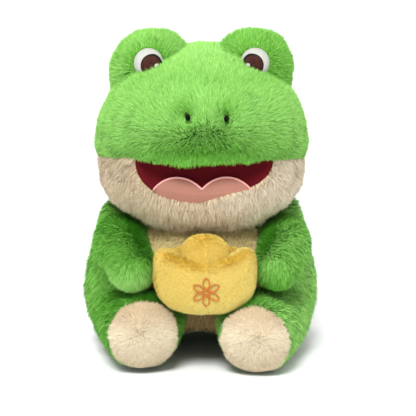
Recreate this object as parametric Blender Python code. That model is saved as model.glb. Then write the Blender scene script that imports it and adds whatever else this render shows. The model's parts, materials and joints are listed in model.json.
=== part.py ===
"""A seated plush frog that holds a stuffed gold ingot, sewn from separate cloth pieces.

The frog faces -Y and sits on the floor at z = 0. Its left side is +X. Each sewn cloth is a
thin shell, and its stuffing is a solid of its own inside.
"""

import math

import bmesh
import bpy
from mathutils import Matrix, Vector

MM = 0.001
DEGREE = math.pi / 180
SIDES = (("left", 1), ("right", -1))

# Cloth and clearances
PILE_CLOTH = 3.0 * MM
SHORT_CLOTH = 2.0 * MM
LINING_CLOTH = 1.4 * MM
SEAM_GAP = 0.35 * MM
SWING_GAP = 0.95 * MM
SWUNG_GAP = 0.3 * MM
STUFFING_GAP = 0.6 * MM
REST_SQUASH = 0.5 * MM
CUT_OVERRUN = 30 * MM
# Points closer together than this are one point
WELD = 0.01 * MM
# Brings the middle of the whole frog over the origin, which the sizes below count from
FROG_SHIFT = 16 * MM

# Torso, a pear with a raised underside in front
TORSO_HEIGHT = 121.5 * MM
TORSO_HALF_WIDTH = 90.5 * MM
TORSO_FRONT = 57 * MM
TORSO_BACK = 73 * MM
TORSO_FULLNESS = 2.1
TORSO_RING_SHARES = (
    (0.0, 0.0, -0.39, 0.30),
    (0.012, 0.49, 0.04, 0.68),
    (0.049, 0.69, 0.25, 0.82),
    (0.111, 0.85, 0.51, 0.92),
    (0.202, 0.955, 0.81, 0.98),
    (0.317, 1.0, 0.975, 1.0),
    (0.44, 1.0, 1.0, 1.0),
    (0.564, 0.972, 1.0, 0.965),
    (0.679, 0.917, 0.95, 0.897),
    (0.786, 0.855, 0.84, 0.795),
    (0.877, 0.765, 0.685, 0.66),
    (0.942, 0.61, 0.49, 0.493),
    (0.984, 0.37, 0.263, 0.288),
    (1.0, 0.0, -0.05, 0.04),
)
# Green cloth left beside, over and under the belly's oval
BELLY_SIDE_MARGIN = 40.5 * MM
BELLY_TOP_MARGIN = -2.5 * MM
BELLY_FOOT_MARGIN = 12 * MM

# Head, sunk into the top of the torso; heights in it are counted from the chin
NECK_SINK = 20.5 * MM
HEAD_BASE = TORSO_HEIGHT - NECK_SINK
HEAD_HEIGHT = 140 * MM
HEAD_HALF_WIDTH = 80.7 * MM
HEAD_FRONT = 83 * MM
HEAD_BACK = 59 * MM
HEAD_FULLNESS = 2.15
# Height, half width, reach in front and reach behind of each ring
HEAD_RING_SHARES = (
    (0.0, 0.0, 0.18, -0.25),
    (0.014, 0.37, 0.48, 0.14),
    (0.05, 0.58, 0.675, 0.37),
    (0.11, 0.77, 0.81, 0.59),
    (0.186, 0.905, 0.905, 0.76),
    (0.271, 0.965, 0.95, 0.88),
    (0.371, 0.985, 0.97, 0.965),
    (0.471, 1.0, 1.0, 1.0),
    (0.571, 0.98, 0.995, 0.985),
    (0.664, 0.923, 0.94, 0.915),
    (0.75, 0.836, 0.83, 0.78),
    (0.829, 0.67, 0.65, 0.61),
    (0.893, 0.50, 0.47, 0.42),
    (0.943, 0.335, 0.31, 0.235),
    (0.982, 0.185, 0.18, 0.10),
    (1.0, 0.0, 0.036, -0.05),
)
JAW_SEAM_HEIGHT = 50.5 * MM
JAW_SEAM_RISE = 6.5 * DEGREE
BACK_SEAM_PLACE = 12 * MM
NECK_HOLE_RADIUS = 34 * MM

# Mouth, a pocket in the front of the head
MOUTH_HALF_WIDTH = 52 * MM
MOUTH_CORNER_HEIGHT = 57 * MM
MOUTH_DROP = 31.5 * MM
MOUTH_ROOF = 3 * MM
MOUTH_DEPTH = 22 * MM
MOUTH_CENTRE = 84 * MM
MOUTH_WRAP = 14 * MM
MOUTH_FULLNESS = 2.3
LINING_SETBACK = 1.2 * MM

# Tongue, a felt with two lobes and a stitched edge
TONGUE_HALF_WIDTH = 35.5 * MM
TONGUE_NOTCH_DROP = 18.5 * MM
TONGUE_LOBE_RISE = 6.8 * MM
TONGUE_FELT = 1.6 * MM
TONGUE_EDGE = 1.6 * MM

# Eye mounds on top of the head
MOUND_SPACING = 77 * MM
MOUND_SINK = 28 * MM
MOUND_HEIGHT = HEAD_BASE + HEAD_HEIGHT - MOUND_SINK
MOUND_PLACE = 2 * MM
MOUND_HALF_WIDTH = 30.5 * MM
MOUND_HALF_DEPTH = 28.5 * MM
MOUND_HALF_HEIGHT = 36 * MM
MOUND_FULLNESS = 2.3

# Eyes, embroidered patches on the front of the mounds
EYE_SPACING = 81 * MM
EYE_RISE = 13.5 * MM
EYE_WHITE_RADIUS = 11.2 * MM
IRIS_RADIUS = 8.4 * MM
IRIS_INSET = 1.6 * MM
IRIS_DROP = 1.3 * MM
GLINT_RADIUS = 1.6 * MM
GLINT_SHIFT = 4.2 * MM
GLINT_DROP = 0.4 * MM
EYE_PATCH = 1.3 * MM
IRIS_PATCH = 0.9 * MM
GLINT_PATCH = 0.5 * MM

# Nostrils, small glossy beads
NOSTRIL_SPACING = 28.5 * MM
NOSTRIL_HEIGHT = 91.5 * MM
NOSTRIL_HALF_WIDTH = 2.0 * MM
NOSTRIL_HALF_HEIGHT = 2.5 * MM
NOSTRIL_DEPTH = 2.2 * MM

# Arms, bent forward round the ingot, each turning on a ball at the shoulder
SHOULDER_SHARE = 0.663
SHOULDER_PLACE = 8 * MM
SHOULDER_DROP = 32.5 * MM
SHOULDER_RADIUS = 22.5 * MM
ARM_REACH = 59 * MM
PAW_DROP = 11.5 * MM
PAW_RADIUS = 18.5 * MM
PAW_TIP = 17 * MM
PAW_PRESS = 3.5 * MM
# Place inward, place forward, drop and radius along the arm, between shoulder and paw
ARM_RING_SHARES = (
    (0.0, 0.0, 0.0, 0.0),
    (-0.27, 0.39, 0.04, 0.14),
    (0.0, 0.74, 0.30, 0.5),
    (1.0, 1.0, 1.0, 1.0),
)
ARM_SWING = 35 * DEGREE
ARM_HOLE_RADIUS = 11 * MM

# Legs, short and stout, each turning on a ball at the hip
HIP_SHARE = 0.591
HIP_PLACE = 22 * MM
HIP_RADIUS = 31 * MM
THIGH_RADIUS = 28.5 * MM
ANKLE_RADIUS = 28 * MM
LEG_REACH = {"left": 64 * MM, "right": 54 * MM}
LEG_TURN_IN = {"left": 15 * MM, "right": 6 * MM}
LEG_LIFT = {"left": 0.0 * MM, "right": 2.5 * MM}
SOLE_BULGE = 19 * MM
SOLE_SEAM = 6 * MM
LEG_SWING = 16 * DEGREE
LEG_HOLE_RADIUS = 16 * MM

# Ingot, a boat with raised ends and a dome, held between the paws
INGOT_PLACE = 76 * MM
INGOT_DROP = 55 * MM
INGOT_HEIGHT = TORSO_HEIGHT - INGOT_DROP
INGOT_HALF_WIDTH = 38.5 * MM
INGOT_HALF_DEPTH = 22.5 * MM
INGOT_HALF_HEIGHT = 19 * MM
INGOT_TIP_RISE = 20 * MM
INGOT_KEEL_RISE = 4 * MM
INGOT_FULLNESS = 2.8
DOME_PLACE = 73 * MM
DOME_RISE = 15.5 * MM
DOME_HALF_WIDTH = 24 * MM
DOME_HALF_DEPTH = 15 * MM
DOME_HALF_HEIGHT = 21.5 * MM
EMBLEM_RADIUS = 10.5 * MM
EMBLEM_THREAD = 2.4 * MM
EMBLEM_DROP = 1.5 * MM
EMBLEM_PATCH = 0.9 * MM
EMBLEM_WAVE_SHARE = 0.18
EMBLEM_PETALS = 6

# Facets round and along each form
HEAD_FACETS = (26, 17)
HEAD_HOLLOW_FACETS = (18, 11)
TORSO_FACETS = (26, 13)
TORSO_HOLLOW_FACETS = (18, 9)
LIMB_FACETS = (18, 12)
LIMB_HOLLOW_FACETS = (10, 8)
MOUND_FACETS = (16, 10)
MOUND_HOLLOW_FACETS = (10, 7)
INGOT_FACETS = (18, 11)
INGOT_HOLLOW_FACETS = (14, 8)
MOUTH_FACETS = (22, 10)
ROUND_SIDES = 20


def between(stations, share):
    """A point on the smooth curve through the stations, share 0 at the first and 1 at the last."""
    place = share * (len(stations) - 1)
    index = min(int(place), len(stations) - 2)
    step = place - index
    before = stations[max(index - 1, 0)]
    start = stations[index]
    end = stations[index + 1]
    after = stations[min(index + 2, len(stations) - 1)]
    values = []
    for p, q, r, s in zip(before, start, end, after):
        bend = q + (r - p) * 0.5 * step
        bend += (p - q * 2.5 + r * 2 - s * 0.5) * step ** 2
        bend += ((q - r) * 1.5 + (s - p) * 0.5) * step ** 3
        values.append(bend)
    return values


def fuller(value, fullness):
    """Square up a cosine or sine: 2 keeps a circle, more makes the ring fuller."""
    return math.copysign(abs(value) ** (2 / fullness), value)


def keep(name, mesh):
    """Put a finished bmesh into the scene as an object."""
    bmesh.ops.recalc_face_normals(mesh, faces=mesh.faces)
    data = bpy.data.meshes.new(name)
    mesh.to_mesh(data)
    mesh.free()
    item = bpy.data.objects.new(name, data)
    bpy.context.scene.collection.objects.link(item)
    return item


def shaped_ball(name, facets, place, swell=0.0):
    """A ball whose points are moved by place, then swollen outwards along their normals."""
    mesh = bmesh.new()
    bmesh.ops.create_uvsphere(mesh, u_segments=facets[0], v_segments=facets[1], radius=1,
                              matrix=Matrix.Rotation(math.pi / facets[0], 4, "Z"))
    for vertex in mesh.verts:
        vertex.co = place(vertex.co.normalized())
    bmesh.ops.recalc_face_normals(mesh, faces=mesh.faces)
    mesh.normal_update()
    for vertex in mesh.verts:
        vertex.co += vertex.normal * swell
    return keep(name, mesh)


def stuffed_form(name, facets, stations, fullness, swell=0.0):
    """A form through rings, each a centre, a vector to its side and a vector to its front."""
    def place(point):
        share = math.acos(max(-1, min(1, -point.z))) / math.pi
        centre, side, front = between(stations, share)
        turn = math.atan2(point.y, point.x)
        return (centre + side * fuller(math.cos(turn), fullness)
                + front * fuller(math.sin(turn), fullness))
    return shaped_ball(name, facets, place, swell)


def upright_stations(shares, base, height, half_width, front, back):
    """Rings of an upright form, from shares of its height, width and reach each way."""
    stations = []
    for height_share, width_share, front_share, back_share in shares:
        near = -front * front_share
        far = back * back_share
        centre = Vector((0, (near + far) / 2, base + height * height_share))
        side = Vector((half_width * width_share, 0, 0))
        stations.append((centre, side, Vector((0, (far - near) / 2, 0))))
    return stations


def limb_stations(path, radii, tip):
    """Rings of a limb: half a ball behind its first point, its path, and a round end."""
    stations = []
    first = (path[1] - path[0]).normalized()
    last = (path[-1] - path[-2]).normalized()

    def ring(centre, along, radius):
        side = along.cross(Vector((0, 0, 1))).normalized()
        stations.append((centre, side * radius, side.cross(along) * radius))

    for turn in (-90, -60, -30):
        back = path[0] + first * radii[0] * math.sin(turn * DEGREE)
        ring(back, first, radii[0] * math.cos(turn * DEGREE))
    for index, point in enumerate(path):
        ahead = path[min(index + 1, len(path) - 1)] - path[max(index - 1, 0)]
        ring(point, ahead.normalized(), radii[index])
    for turn in (30, 60, 90):
        end = path[-1] + last * tip * math.sin(turn * DEGREE)
        ring(end, last, radii[-1] * math.cos(turn * DEGREE))
    return stations


def head_form(swell=0.0, facets=HEAD_FACETS):
    """The whole head without its eye mounds."""
    stations = upright_stations(HEAD_RING_SHARES, HEAD_BASE, HEAD_HEIGHT,
                                HEAD_HALF_WIDTH, HEAD_FRONT, HEAD_BACK)
    return stuffed_form("head form", facets, stations, HEAD_FULLNESS, swell)


def torso_form(swell=0.0, facets=TORSO_FACETS):
    """The body below the head, without its limbs."""
    stations = upright_stations(TORSO_RING_SHARES, -REST_SQUASH, TORSO_HEIGHT,
                                TORSO_HALF_WIDTH, TORSO_FRONT, TORSO_BACK)
    return stuffed_form("torso form", facets, stations, TORSO_FULLNESS, swell)


def mound_form(way, swell=0.0, facets=MOUND_FACETS):
    """One eye mound, a dome that sinks into the head."""
    def place(point):
        flat = math.hypot(point.x, point.y) or 1
        ring = fuller(flat, MOUND_FULLNESS)
        return Vector((way * MOUND_SPACING / 2 + MOUND_HALF_WIDTH * ring * point.x / flat,
                       MOUND_PLACE + MOUND_HALF_DEPTH * ring * point.y / flat,
                       MOUND_HEIGHT + MOUND_HALF_HEIGHT * fuller(point.z, MOUND_FULLNESS)))
    return shaped_ball("mound form", facets, place, swell)


def mouth_form(swell=0.0):
    """The pocket of the mouth, bent back at its corners as the face is."""
    def place(point):
        wide = fuller(point.x, MOUTH_FULLNESS)
        tall = fuller(point.z, MOUTH_FULLNESS)
        rise = MOUTH_ROOF if tall > 0 else MOUTH_DROP
        return Vector((MOUTH_HALF_WIDTH * wide,
                       -MOUTH_CENTRE + MOUTH_DEPTH * point.y + MOUTH_WRAP * wide ** 2,
                       HEAD_BASE + MOUTH_CORNER_HEIGHT + rise * tall))
    return shaped_ball("mouth form", MOUTH_FACETS, place, swell)


def shoulder(way):
    """The middle of one shoulder ball, part of the way out to the torso's side."""
    return Vector((way * TORSO_HALF_WIDTH * SHOULDER_SHARE, -SHOULDER_PLACE,
                   TORSO_HEIGHT - SHOULDER_DROP))


def hip(way):
    """The middle of one hip ball, which rests on the floor."""
    return Vector((way * TORSO_HALF_WIDTH * HIP_SHARE, -HIP_PLACE, HIP_RADIUS - REST_SQUASH))


def arm_form(way, swell=0.0, facets=LIMB_FACETS):
    """One arm from its shoulder ball to its paw, which is pressed to the ingot's side."""
    path = []
    radii = []
    paw = way * (INGOT_HALF_WIDTH + PAW_RADIUS - PAW_PRESS)
    for in_share, ahead_share, drop_share, slim_share in ARM_RING_SHARES:
        shift = Vector(((paw - shoulder(way).x) * in_share, -ARM_REACH * ahead_share,
                        -PAW_DROP * drop_share))
        path.append(shoulder(way) + shift)
        radii.append(SHOULDER_RADIUS + (PAW_RADIUS - SHOULDER_RADIUS) * slim_share)
    return stuffed_form("arm form", facets, limb_stations(path, radii, PAW_TIP), 2, swell)


def leg_path(side, way):
    """The middle line of one leg, from its hip to its ankle."""
    ankle = Vector((hip(way).x - way * LEG_TURN_IN[side], hip(way).y - LEG_REACH[side],
                    ANKLE_RADIUS - REST_SQUASH + LEG_LIFT[side]))
    thigh = hip(way).lerp(ankle, 0.5)
    thigh.z = THIGH_RADIUS - REST_SQUASH + LEG_LIFT[side] / 2
    return [hip(way), thigh, ankle]


def leg_form(side, way, swell=0.0, facets=LIMB_FACETS):
    """One leg from its hip ball to its sole."""
    radii = [HIP_RADIUS, THIGH_RADIUS, ANKLE_RADIUS]
    stations = limb_stations(leg_path(side, way), radii, SOLE_BULGE)
    return stuffed_form("leg form", facets, stations, 2, swell)


def ingot_form(swell=0.0, facets=INGOT_FACETS):
    """The boat of the ingot, its rim swept up to both tips."""
    def place(point):
        wide = fuller(point.x, INGOT_FULLNESS)
        tall = fuller(point.z, INGOT_FULLNESS)
        rise = INGOT_KEEL_RISE + (INGOT_TIP_RISE - INGOT_KEEL_RISE) * (tall + 1) / 2
        return Vector((INGOT_HALF_WIDTH * wide,
                       -INGOT_PLACE + INGOT_HALF_DEPTH * fuller(point.y, INGOT_FULLNESS),
                       INGOT_HEIGHT + INGOT_HALF_HEIGHT * tall + rise * wide ** 2))
    return shaped_ball("ingot form", facets, place, swell)


def dome_form(swell=0.0, facets=MOUND_FACETS):
    """The dome that rises from the ingot."""
    def place(point):
        return Vector((DOME_HALF_WIDTH * point.x,
                       -DOME_PLACE + DOME_HALF_DEPTH * point.y,
                       INGOT_HEIGHT + DOME_RISE
                       + DOME_HALF_HEIGHT * fuller(point.z, MOUND_FULLNESS)))
    return shaped_ball("dome form", facets, place, swell)


def prism(outline, low, high, turn=Matrix()):
    """An outline drawn in X and Z, carried from low to high along Y, then turned."""
    mesh = bmesh.new()
    near = [mesh.verts.new((x, low, z)) for x, z in outline]
    face = mesh.faces.new(near)
    grown = bmesh.ops.extrude_face_region(mesh, geom=[face])
    moved = [part for part in grown["geom"] if isinstance(part, bmesh.types.BMVert)]
    bmesh.ops.translate(mesh, verts=moved, vec=(0, high - low, 0))
    bmesh.ops.transform(mesh, matrix=turn, verts=mesh.verts)
    return keep("prism", mesh)


def circle_outline(x, z, radius, tall=1.0):
    """Points of a circle or an upright oval."""
    step = 2 * math.pi / ROUND_SIDES
    return [(x + radius * math.cos(i * step), z + radius * tall * math.sin(i * step))
            for i in range(ROUND_SIDES)]


def rod(start, end, radius):
    """A round cutter from one point to another."""
    mesh = bmesh.new()
    along = end - start
    bmesh.ops.create_cone(mesh, cap_ends=True, segments=ROUND_SIDES,
                          radius1=radius, radius2=radius, depth=along.length)
    turn = along.to_track_quat("Z", "Y").to_matrix().to_4x4()
    bmesh.ops.transform(mesh, matrix=Matrix.Translation((start + end) / 2) @ turn,
                        verts=mesh.verts)
    return keep("rod", mesh)


def half_space(point, facing):
    """A block that fills everything on the side of a plane that faces away."""
    reach = HEAD_BASE + HEAD_HEIGHT + TORSO_HALF_WIDTH
    mesh = bmesh.new()
    bmesh.ops.create_cube(mesh, size=2 * reach)
    turn = facing.to_track_quat("Z", "Y").to_matrix().to_4x4()
    shift = Matrix.Translation(point - facing.normalized() * reach)
    bmesh.ops.transform(mesh, matrix=shift @ turn, verts=mesh.verts)
    return keep("half space", mesh)


def clear_slivers(data):
    """Leave a mesh in whole triangles, so that the next Boolean meets only clean ones."""
    mesh = bmesh.new()
    mesh.from_mesh(data)
    bmesh.ops.triangulate(mesh, faces=mesh.faces)
    bmesh.ops.remove_doubles(mesh, verts=mesh.verts, dist=WELD)
    bmesh.ops.dissolve_degenerate(mesh, edges=mesh.edges, dist=WELD)
    bmesh.ops.triangulate(mesh, faces=mesh.faces)
    mesh.to_mesh(data)
    mesh.free()


def carve(item, tool, operation="DIFFERENCE"):
    """Apply one exact Boolean, clear its slivers and delete the tool."""
    step = item.modifiers.new("carve", "BOOLEAN")
    step.object = tool
    step.operation = operation
    step.solver = "EXACT"
    bpy.context.view_layer.update()
    shown = item.evaluated_get(bpy.context.evaluated_depsgraph_get())
    data = bpy.data.meshes.new_from_object(shown)
    clear_slivers(data)
    item.modifiers.clear()
    old = item.data
    item.data = data
    bpy.data.meshes.remove(old)
    bpy.data.meshes.remove(tool.data)
    return item


def cut(item, *tools):
    """Take every tool away from a form."""
    for tool in tools:
        carve(item, tool)
    return item


def common(item, *tools):
    """Keep what a form shares with every tool."""
    for tool in tools:
        carve(item, tool, "INTERSECT")
    return item


def cloth(name, colour, roughness, metallic=0.0):
    """A plain material of one colour."""
    material = bpy.data.materials.new(name)
    material.use_nodes = True
    shader = material.node_tree.nodes["Principled BSDF"]
    shader.inputs["Base Color"].default_value = (*colour, 1)
    shader.inputs["Roughness"].default_value = roughness
    shader.inputs["Metallic"].default_value = metallic
    material.diffuse_color = (*colour, 1)
    return material


def finish(item, name, material, pivot=None):
    """Name a piece, give it its material, and hang it on its pivot."""
    item.name = name
    item.data.name = name
    item.data.materials.clear()
    item.data.materials.append(material)
    for face in item.data.polygons:
        face.material_index = 0
    item.data.shade_smooth()
    item.data.set_sharp_from_angle(angle=40 * DEGREE)
    if pivot:
        item.data.transform(Matrix.Translation(-pivot.location))
        item.parent = pivot
    return item


def pivot_at(name, place):
    """An empty on a joint's upright axis."""
    empty = bpy.data.objects.new(name, None)
    empty.location = place
    bpy.context.scene.collection.objects.link(empty)
    return empty


def jaw_seam(offset=0.0):
    """Everything below the seam between the green face and the cream jaw."""
    facing = Vector((0, math.sin(JAW_SEAM_RISE), math.cos(JAW_SEAM_RISE)))
    return half_space(Vector((0, 0, HEAD_BASE + JAW_SEAM_HEIGHT)) + facing * offset, facing)


def before_back_seam(offset=0.0):
    """Everything in front of the seam that runs over the head from side to side."""
    return half_space(Vector((0, BACK_SEAM_PLACE + offset, 0)), Vector((0, 1, 0)))


def below_floor():
    """Everything under the floor."""
    return half_space(Vector((0, 0, 0)), Vector((0, 0, 1)))


def swung(item, middle, angle):
    """A form turned about the upright line through middle."""
    item.data.transform(Matrix.Translation(middle) @ Matrix.Rotation(angle, 4, "Z")
                        @ Matrix.Translation(-middle))
    return item


def limb_room():
    """The room that the limbs need at rest, and a little less of it as they swing out."""
    room = []
    for side, way in SIDES:
        room.append(arm_form(way, SWING_GAP))
        room.append(leg_form(side, way, SWING_GAP))
        room.append(swung(leg_form(side, way, SWUNG_GAP), hip(way), way * LEG_SWING))
        for share in (0.5, 1):
            room.append(swung(arm_form(way, SWUNG_GAP * share), shoulder(way),
                              way * ARM_SWING * share))
    return room


def head_shell():
    """The cloth of the whole head, with the mouth pocket and the neck hole cut out."""
    shell = cut(head_form(), head_form(-PILE_CLOTH, HEAD_HOLLOW_FACETS))
    neck = rod(Vector((0, 0, HEAD_BASE - CUT_OVERRUN)),
               Vector((0, 0, HEAD_BASE + CUT_OVERRUN)), NECK_HOLE_RADIUS)
    return cut(shell, neck, mouth_form(SEAM_GAP))


def make_head(green, cream, stuffing):
    """The three panels of the head and its filling."""
    face = cut(head_shell(), jaw_seam(SEAM_GAP / 2))
    finish(common(face, before_back_seam(-SEAM_GAP / 2)), "face_upper_panel", green)
    jaw = common(head_shell(), jaw_seam(-SEAM_GAP / 2), before_back_seam(-SEAM_GAP / 2))
    finish(jaw, "jaw_panel", cream)
    finish(cut(head_shell(), before_back_seam(SEAM_GAP / 2)), "head_back_panel", green)
    filling = head_form(-PILE_CLOTH - STUFFING_GAP, HEAD_HOLLOW_FACETS)
    finish(cut(filling, mouth_form(SEAM_GAP)), "head_stuffing", stuffing)


def lobed_outline(inset):
    """The tongue's outline: two lobes that meet in a notch, and straight sides below."""
    corner = HEAD_BASE + MOUTH_CORNER_HEIGHT
    notch = corner - TONGUE_NOTCH_DROP - inset
    lobe = TONGUE_HALF_WIDTH / 2
    steps = ROUND_SIDES // 2
    points = []
    for way in (1, -1):
        for index in range(steps + 1):
            turn = math.pi * index / steps
            x = way * lobe + (lobe - inset) * math.cos(turn)
            points.append((x, notch + TONGUE_LOBE_RISE * math.sin(turn)))
    if not inset:
        points.pop(steps)
    floor = corner - MOUTH_DROP - CUT_OVERRUN
    return points + [(inset - TONGUE_HALF_WIDTH, floor), (TONGUE_HALF_WIDTH - inset, floor)]


def tongue_prism(inset):
    """The tongue's outline carried through the mouth."""
    return prism(lobed_outline(inset), -MOUTH_CENTRE - CUT_OVERRUN,
                 -MOUTH_CENTRE + MOUTH_DEPTH + CUT_OVERRUN)


def make_mouth(maroon, pink, edging):
    """The pocket's lining, the tongue on it and the tongue's stitched edge."""
    lining = cut(mouth_form(), mouth_form(-LINING_CLOTH))
    finish(common(lining, head_form(-LINING_SETBACK)), "mouth_lining", maroon)
    top = LINING_CLOTH + SEAM_GAP
    for name, outer, inner, material in (
            ("tongue", TONGUE_EDGE + SEAM_GAP, None, pink),
            ("tongue_edge", 0.0, TONGUE_EDGE, edging)):
        felt = cut(mouth_form(-top), mouth_form(-top - TONGUE_FELT))
        common(felt, tongue_prism(outer), head_form(-LINING_SETBACK))
        if inner:
            cut(felt, tongue_prism(inner))
        finish(felt, name, material)


def eye_patch(way, low, thickness, radius, shift, drop):
    """A round patch laid on the front of one mound, hidden below by the face."""
    x = way * (EYE_SPACING / 2 - shift)
    disc = prism(circle_outline(x, MOUND_HEIGHT + EYE_RISE - drop, radius),
                 MOUND_PLACE - MOUND_HALF_DEPTH - CUT_OVERRUN, MOUND_PLACE)
    patch = cut(mound_form(way, low + thickness), mound_form(way, low))
    return cut(common(patch, disc), head_form(SEAM_GAP))


def make_eyes(green, stuffing, white, brown):
    """Both mounds, their filling and the embroidered eyes."""
    for side, way in SIDES:
        skin = cut(mound_form(way), mound_form(way, -PILE_CLOTH, MOUND_HOLLOW_FACETS),
                   head_form(SEAM_GAP))
        finish(skin, side + "_eye_mound", green)
        filling = cut(mound_form(way, -PILE_CLOTH - STUFFING_GAP, MOUND_HOLLOW_FACETS),
                      head_form(SEAM_GAP))
        finish(filling, side + "_mound_stuffing", stuffing)
        low = SEAM_GAP
        finish(eye_patch(way, low, EYE_PATCH, EYE_WHITE_RADIUS, 0, 0),
               side + "_eye_white", white)
        low += EYE_PATCH + SEAM_GAP
        finish(eye_patch(way, low, IRIS_PATCH, IRIS_RADIUS, IRIS_INSET, IRIS_DROP),
               side + "_iris", brown)
        low += IRIS_PATCH + SEAM_GAP
        finish(eye_patch(way, low, GLINT_PATCH, GLINT_RADIUS, IRIS_INSET + GLINT_SHIFT,
                         IRIS_DROP + GLINT_DROP),
               side + "_eye_glint", white)


def make_nostrils(black):
    """Two beads seated on the muzzle."""
    tall = NOSTRIL_HALF_HEIGHT / NOSTRIL_HALF_WIDTH
    for side, way in SIDES:
        outline = circle_outline(way * NOSTRIL_SPACING / 2, HEAD_BASE + NOSTRIL_HEIGHT,
                                 NOSTRIL_HALF_WIDTH, tall)
        bead = cut(head_form(SEAM_GAP + NOSTRIL_DEPTH), head_form(SEAM_GAP))
        common(bead, prism(outline, -HEAD_FRONT - CUT_OVERRUN, -HEAD_FRONT / 2))
        finish(bead, side + "_nostril", black)


def belly_outline(margin):
    """The cream oval on the front of the torso."""
    foot = BELLY_FOOT_MARGIN
    top = TORSO_HEIGHT - BELLY_TOP_MARGIN
    half_width = TORSO_HALF_WIDTH - BELLY_SIDE_MARGIN + margin
    half_height = (top - foot) / 2 + margin
    outline = circle_outline(0, (top + foot) / 2, half_width, half_height / half_width)
    return prism(outline, -TORSO_FRONT - CUT_OVERRUN, 0)


def torso_shell():
    """The cloth of the torso before any opening is cut in it."""
    return cut(torso_form(), torso_form(-PILE_CLOTH, TORSO_HOLLOW_FACETS))


def torso_openings():
    """What opens the torso: the neck, the flat underside, the shoulders and the hips."""
    return [head_form(SEAM_GAP), below_floor(), *limb_room()]


def make_torso(green, cream, stuffing):
    """The belly, the back and the filling."""
    belly = common(torso_shell(), belly_outline(0))
    finish(cut(belly, *torso_openings()), "belly_panel", cream)
    back = cut(torso_shell(), belly_outline(SEAM_GAP), *torso_openings())
    finish(back, "torso_back_panel", green)
    filling = torso_form(-PILE_CLOTH - STUFFING_GAP, TORSO_HOLLOW_FACETS)
    finish(cut(filling, head_form(SEAM_GAP), *limb_room()), "torso_stuffing", stuffing)


def make_arms(green, stuffing):
    """Each arm's cloth, open at the shoulder, and its filling."""
    for side, way in SIDES:
        pivot = pivot_at(side + "_shoulder", shoulder(way))
        inward = shoulder(way) - Vector((way * (SHOULDER_RADIUS + CUT_OVERRUN), 0, 0))
        skin = cut(arm_form(way), arm_form(way, -PILE_CLOTH, LIMB_HOLLOW_FACETS),
                   rod(shoulder(way), inward, ARM_HOLE_RADIUS),
                   ingot_form(SEAM_GAP))
        finish(skin, side + "_arm", green, pivot)
        filling = cut(arm_form(way, -PILE_CLOTH - STUFFING_GAP, LIMB_HOLLOW_FACETS),
                      ingot_form(PILE_CLOTH + STUFFING_GAP))
        finish(filling, side + "_arm_stuffing", stuffing, pivot)


def sole_plane(side, way, offset):
    """Everything on the hip's side of the seam round the sole."""
    path = leg_path(side, way)
    facing = (path[-1] - path[0]).normalized()
    return half_space(path[-1] + facing * (SOLE_SEAM + offset), facing)


def make_legs(green, cream, stuffing):
    """Each leg's cloth, open at the hip, its cream sole and its filling."""
    for side, way in SIDES:
        pivot = pivot_at(side + "_hip", hip(way))
        inward = hip(way) - Vector((way * (HIP_RADIUS + CUT_OVERRUN), 0, 0))
        for name, material in (("_leg", green), ("_sole", cream)):
            skin = cut(leg_form(side, way),
                       leg_form(side, way, -PILE_CLOTH, LIMB_HOLLOW_FACETS),
                       rod(hip(way), inward, LEG_HOLE_RADIUS), below_floor(),
                       ingot_form(SEAM_GAP))
            if name == "_leg":
                common(skin, sole_plane(side, way, -SEAM_GAP / 2))
            else:
                cut(skin, sole_plane(side, way, SEAM_GAP / 2))
            finish(skin, side + name, material, pivot)
        filling = leg_form(side, way, -PILE_CLOTH - STUFFING_GAP, LIMB_HOLLOW_FACETS)
        cut(filling, ingot_form(PILE_CLOTH + STUFFING_GAP))
        finish(filling, side + "_leg_stuffing", stuffing, pivot)


def petal_outline(radius):
    """A rosette: a circle whose edge swells and dips once for each petal."""
    points = []
    count = 2 * ROUND_SIDES
    for index in range(count):
        turn = 2 * math.pi * index / count
        reach = radius * (1 - EMBLEM_WAVE_SHARE * (1 - math.cos(EMBLEM_PETALS * turn)) / 2)
        points.append((reach * math.sin(turn),
                       INGOT_HEIGHT - EMBLEM_DROP + reach * math.cos(turn)))
    return points


def make_ingot(gold, stuffing, orange):
    """The boat, its dome, their filling and a stitched rosette."""
    boat = cut(ingot_form(), ingot_form(-SHORT_CLOTH, INGOT_HOLLOW_FACETS),
               torso_form(SEAM_GAP))
    back = rod(Vector((0, 0, INGOT_HEIGHT)), Vector((0, -INGOT_PLACE, INGOT_HEIGHT)),
               INGOT_HALF_HEIGHT / 2)
    finish(cut(boat, back), "ingot_boat", gold)
    dome = cut(dome_form(), dome_form(-SHORT_CLOTH, MOUND_HOLLOW_FACETS),
               ingot_form(SEAM_GAP))
    finish(dome, "ingot_dome", gold)
    filling = cut(ingot_form(-SHORT_CLOTH - STUFFING_GAP, INGOT_HOLLOW_FACETS),
                  torso_form(SEAM_GAP))
    finish(filling, "ingot_stuffing", stuffing)
    rosette = cut(ingot_form(SEAM_GAP + EMBLEM_PATCH), ingot_form(SEAM_GAP))
    near = -INGOT_PLACE - INGOT_HALF_DEPTH - CUT_OVERRUN
    common(rosette, prism(petal_outline(EMBLEM_RADIUS), near, -INGOT_PLACE))
    cut(rosette, prism(petal_outline(EMBLEM_RADIUS - EMBLEM_THREAD), near, -INGOT_PLACE))
    finish(rosette, "ingot_emblem", orange)


def move_over_origin():
    """Shift every free piece and every pivot along Y."""
    for item in bpy.data.objects:
        if item.type == "EMPTY":
            item.location.y += FROG_SHIFT
        elif not item.parent:
            item.data.transform(Matrix.Translation((0, FROG_SHIFT, 0)))


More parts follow.
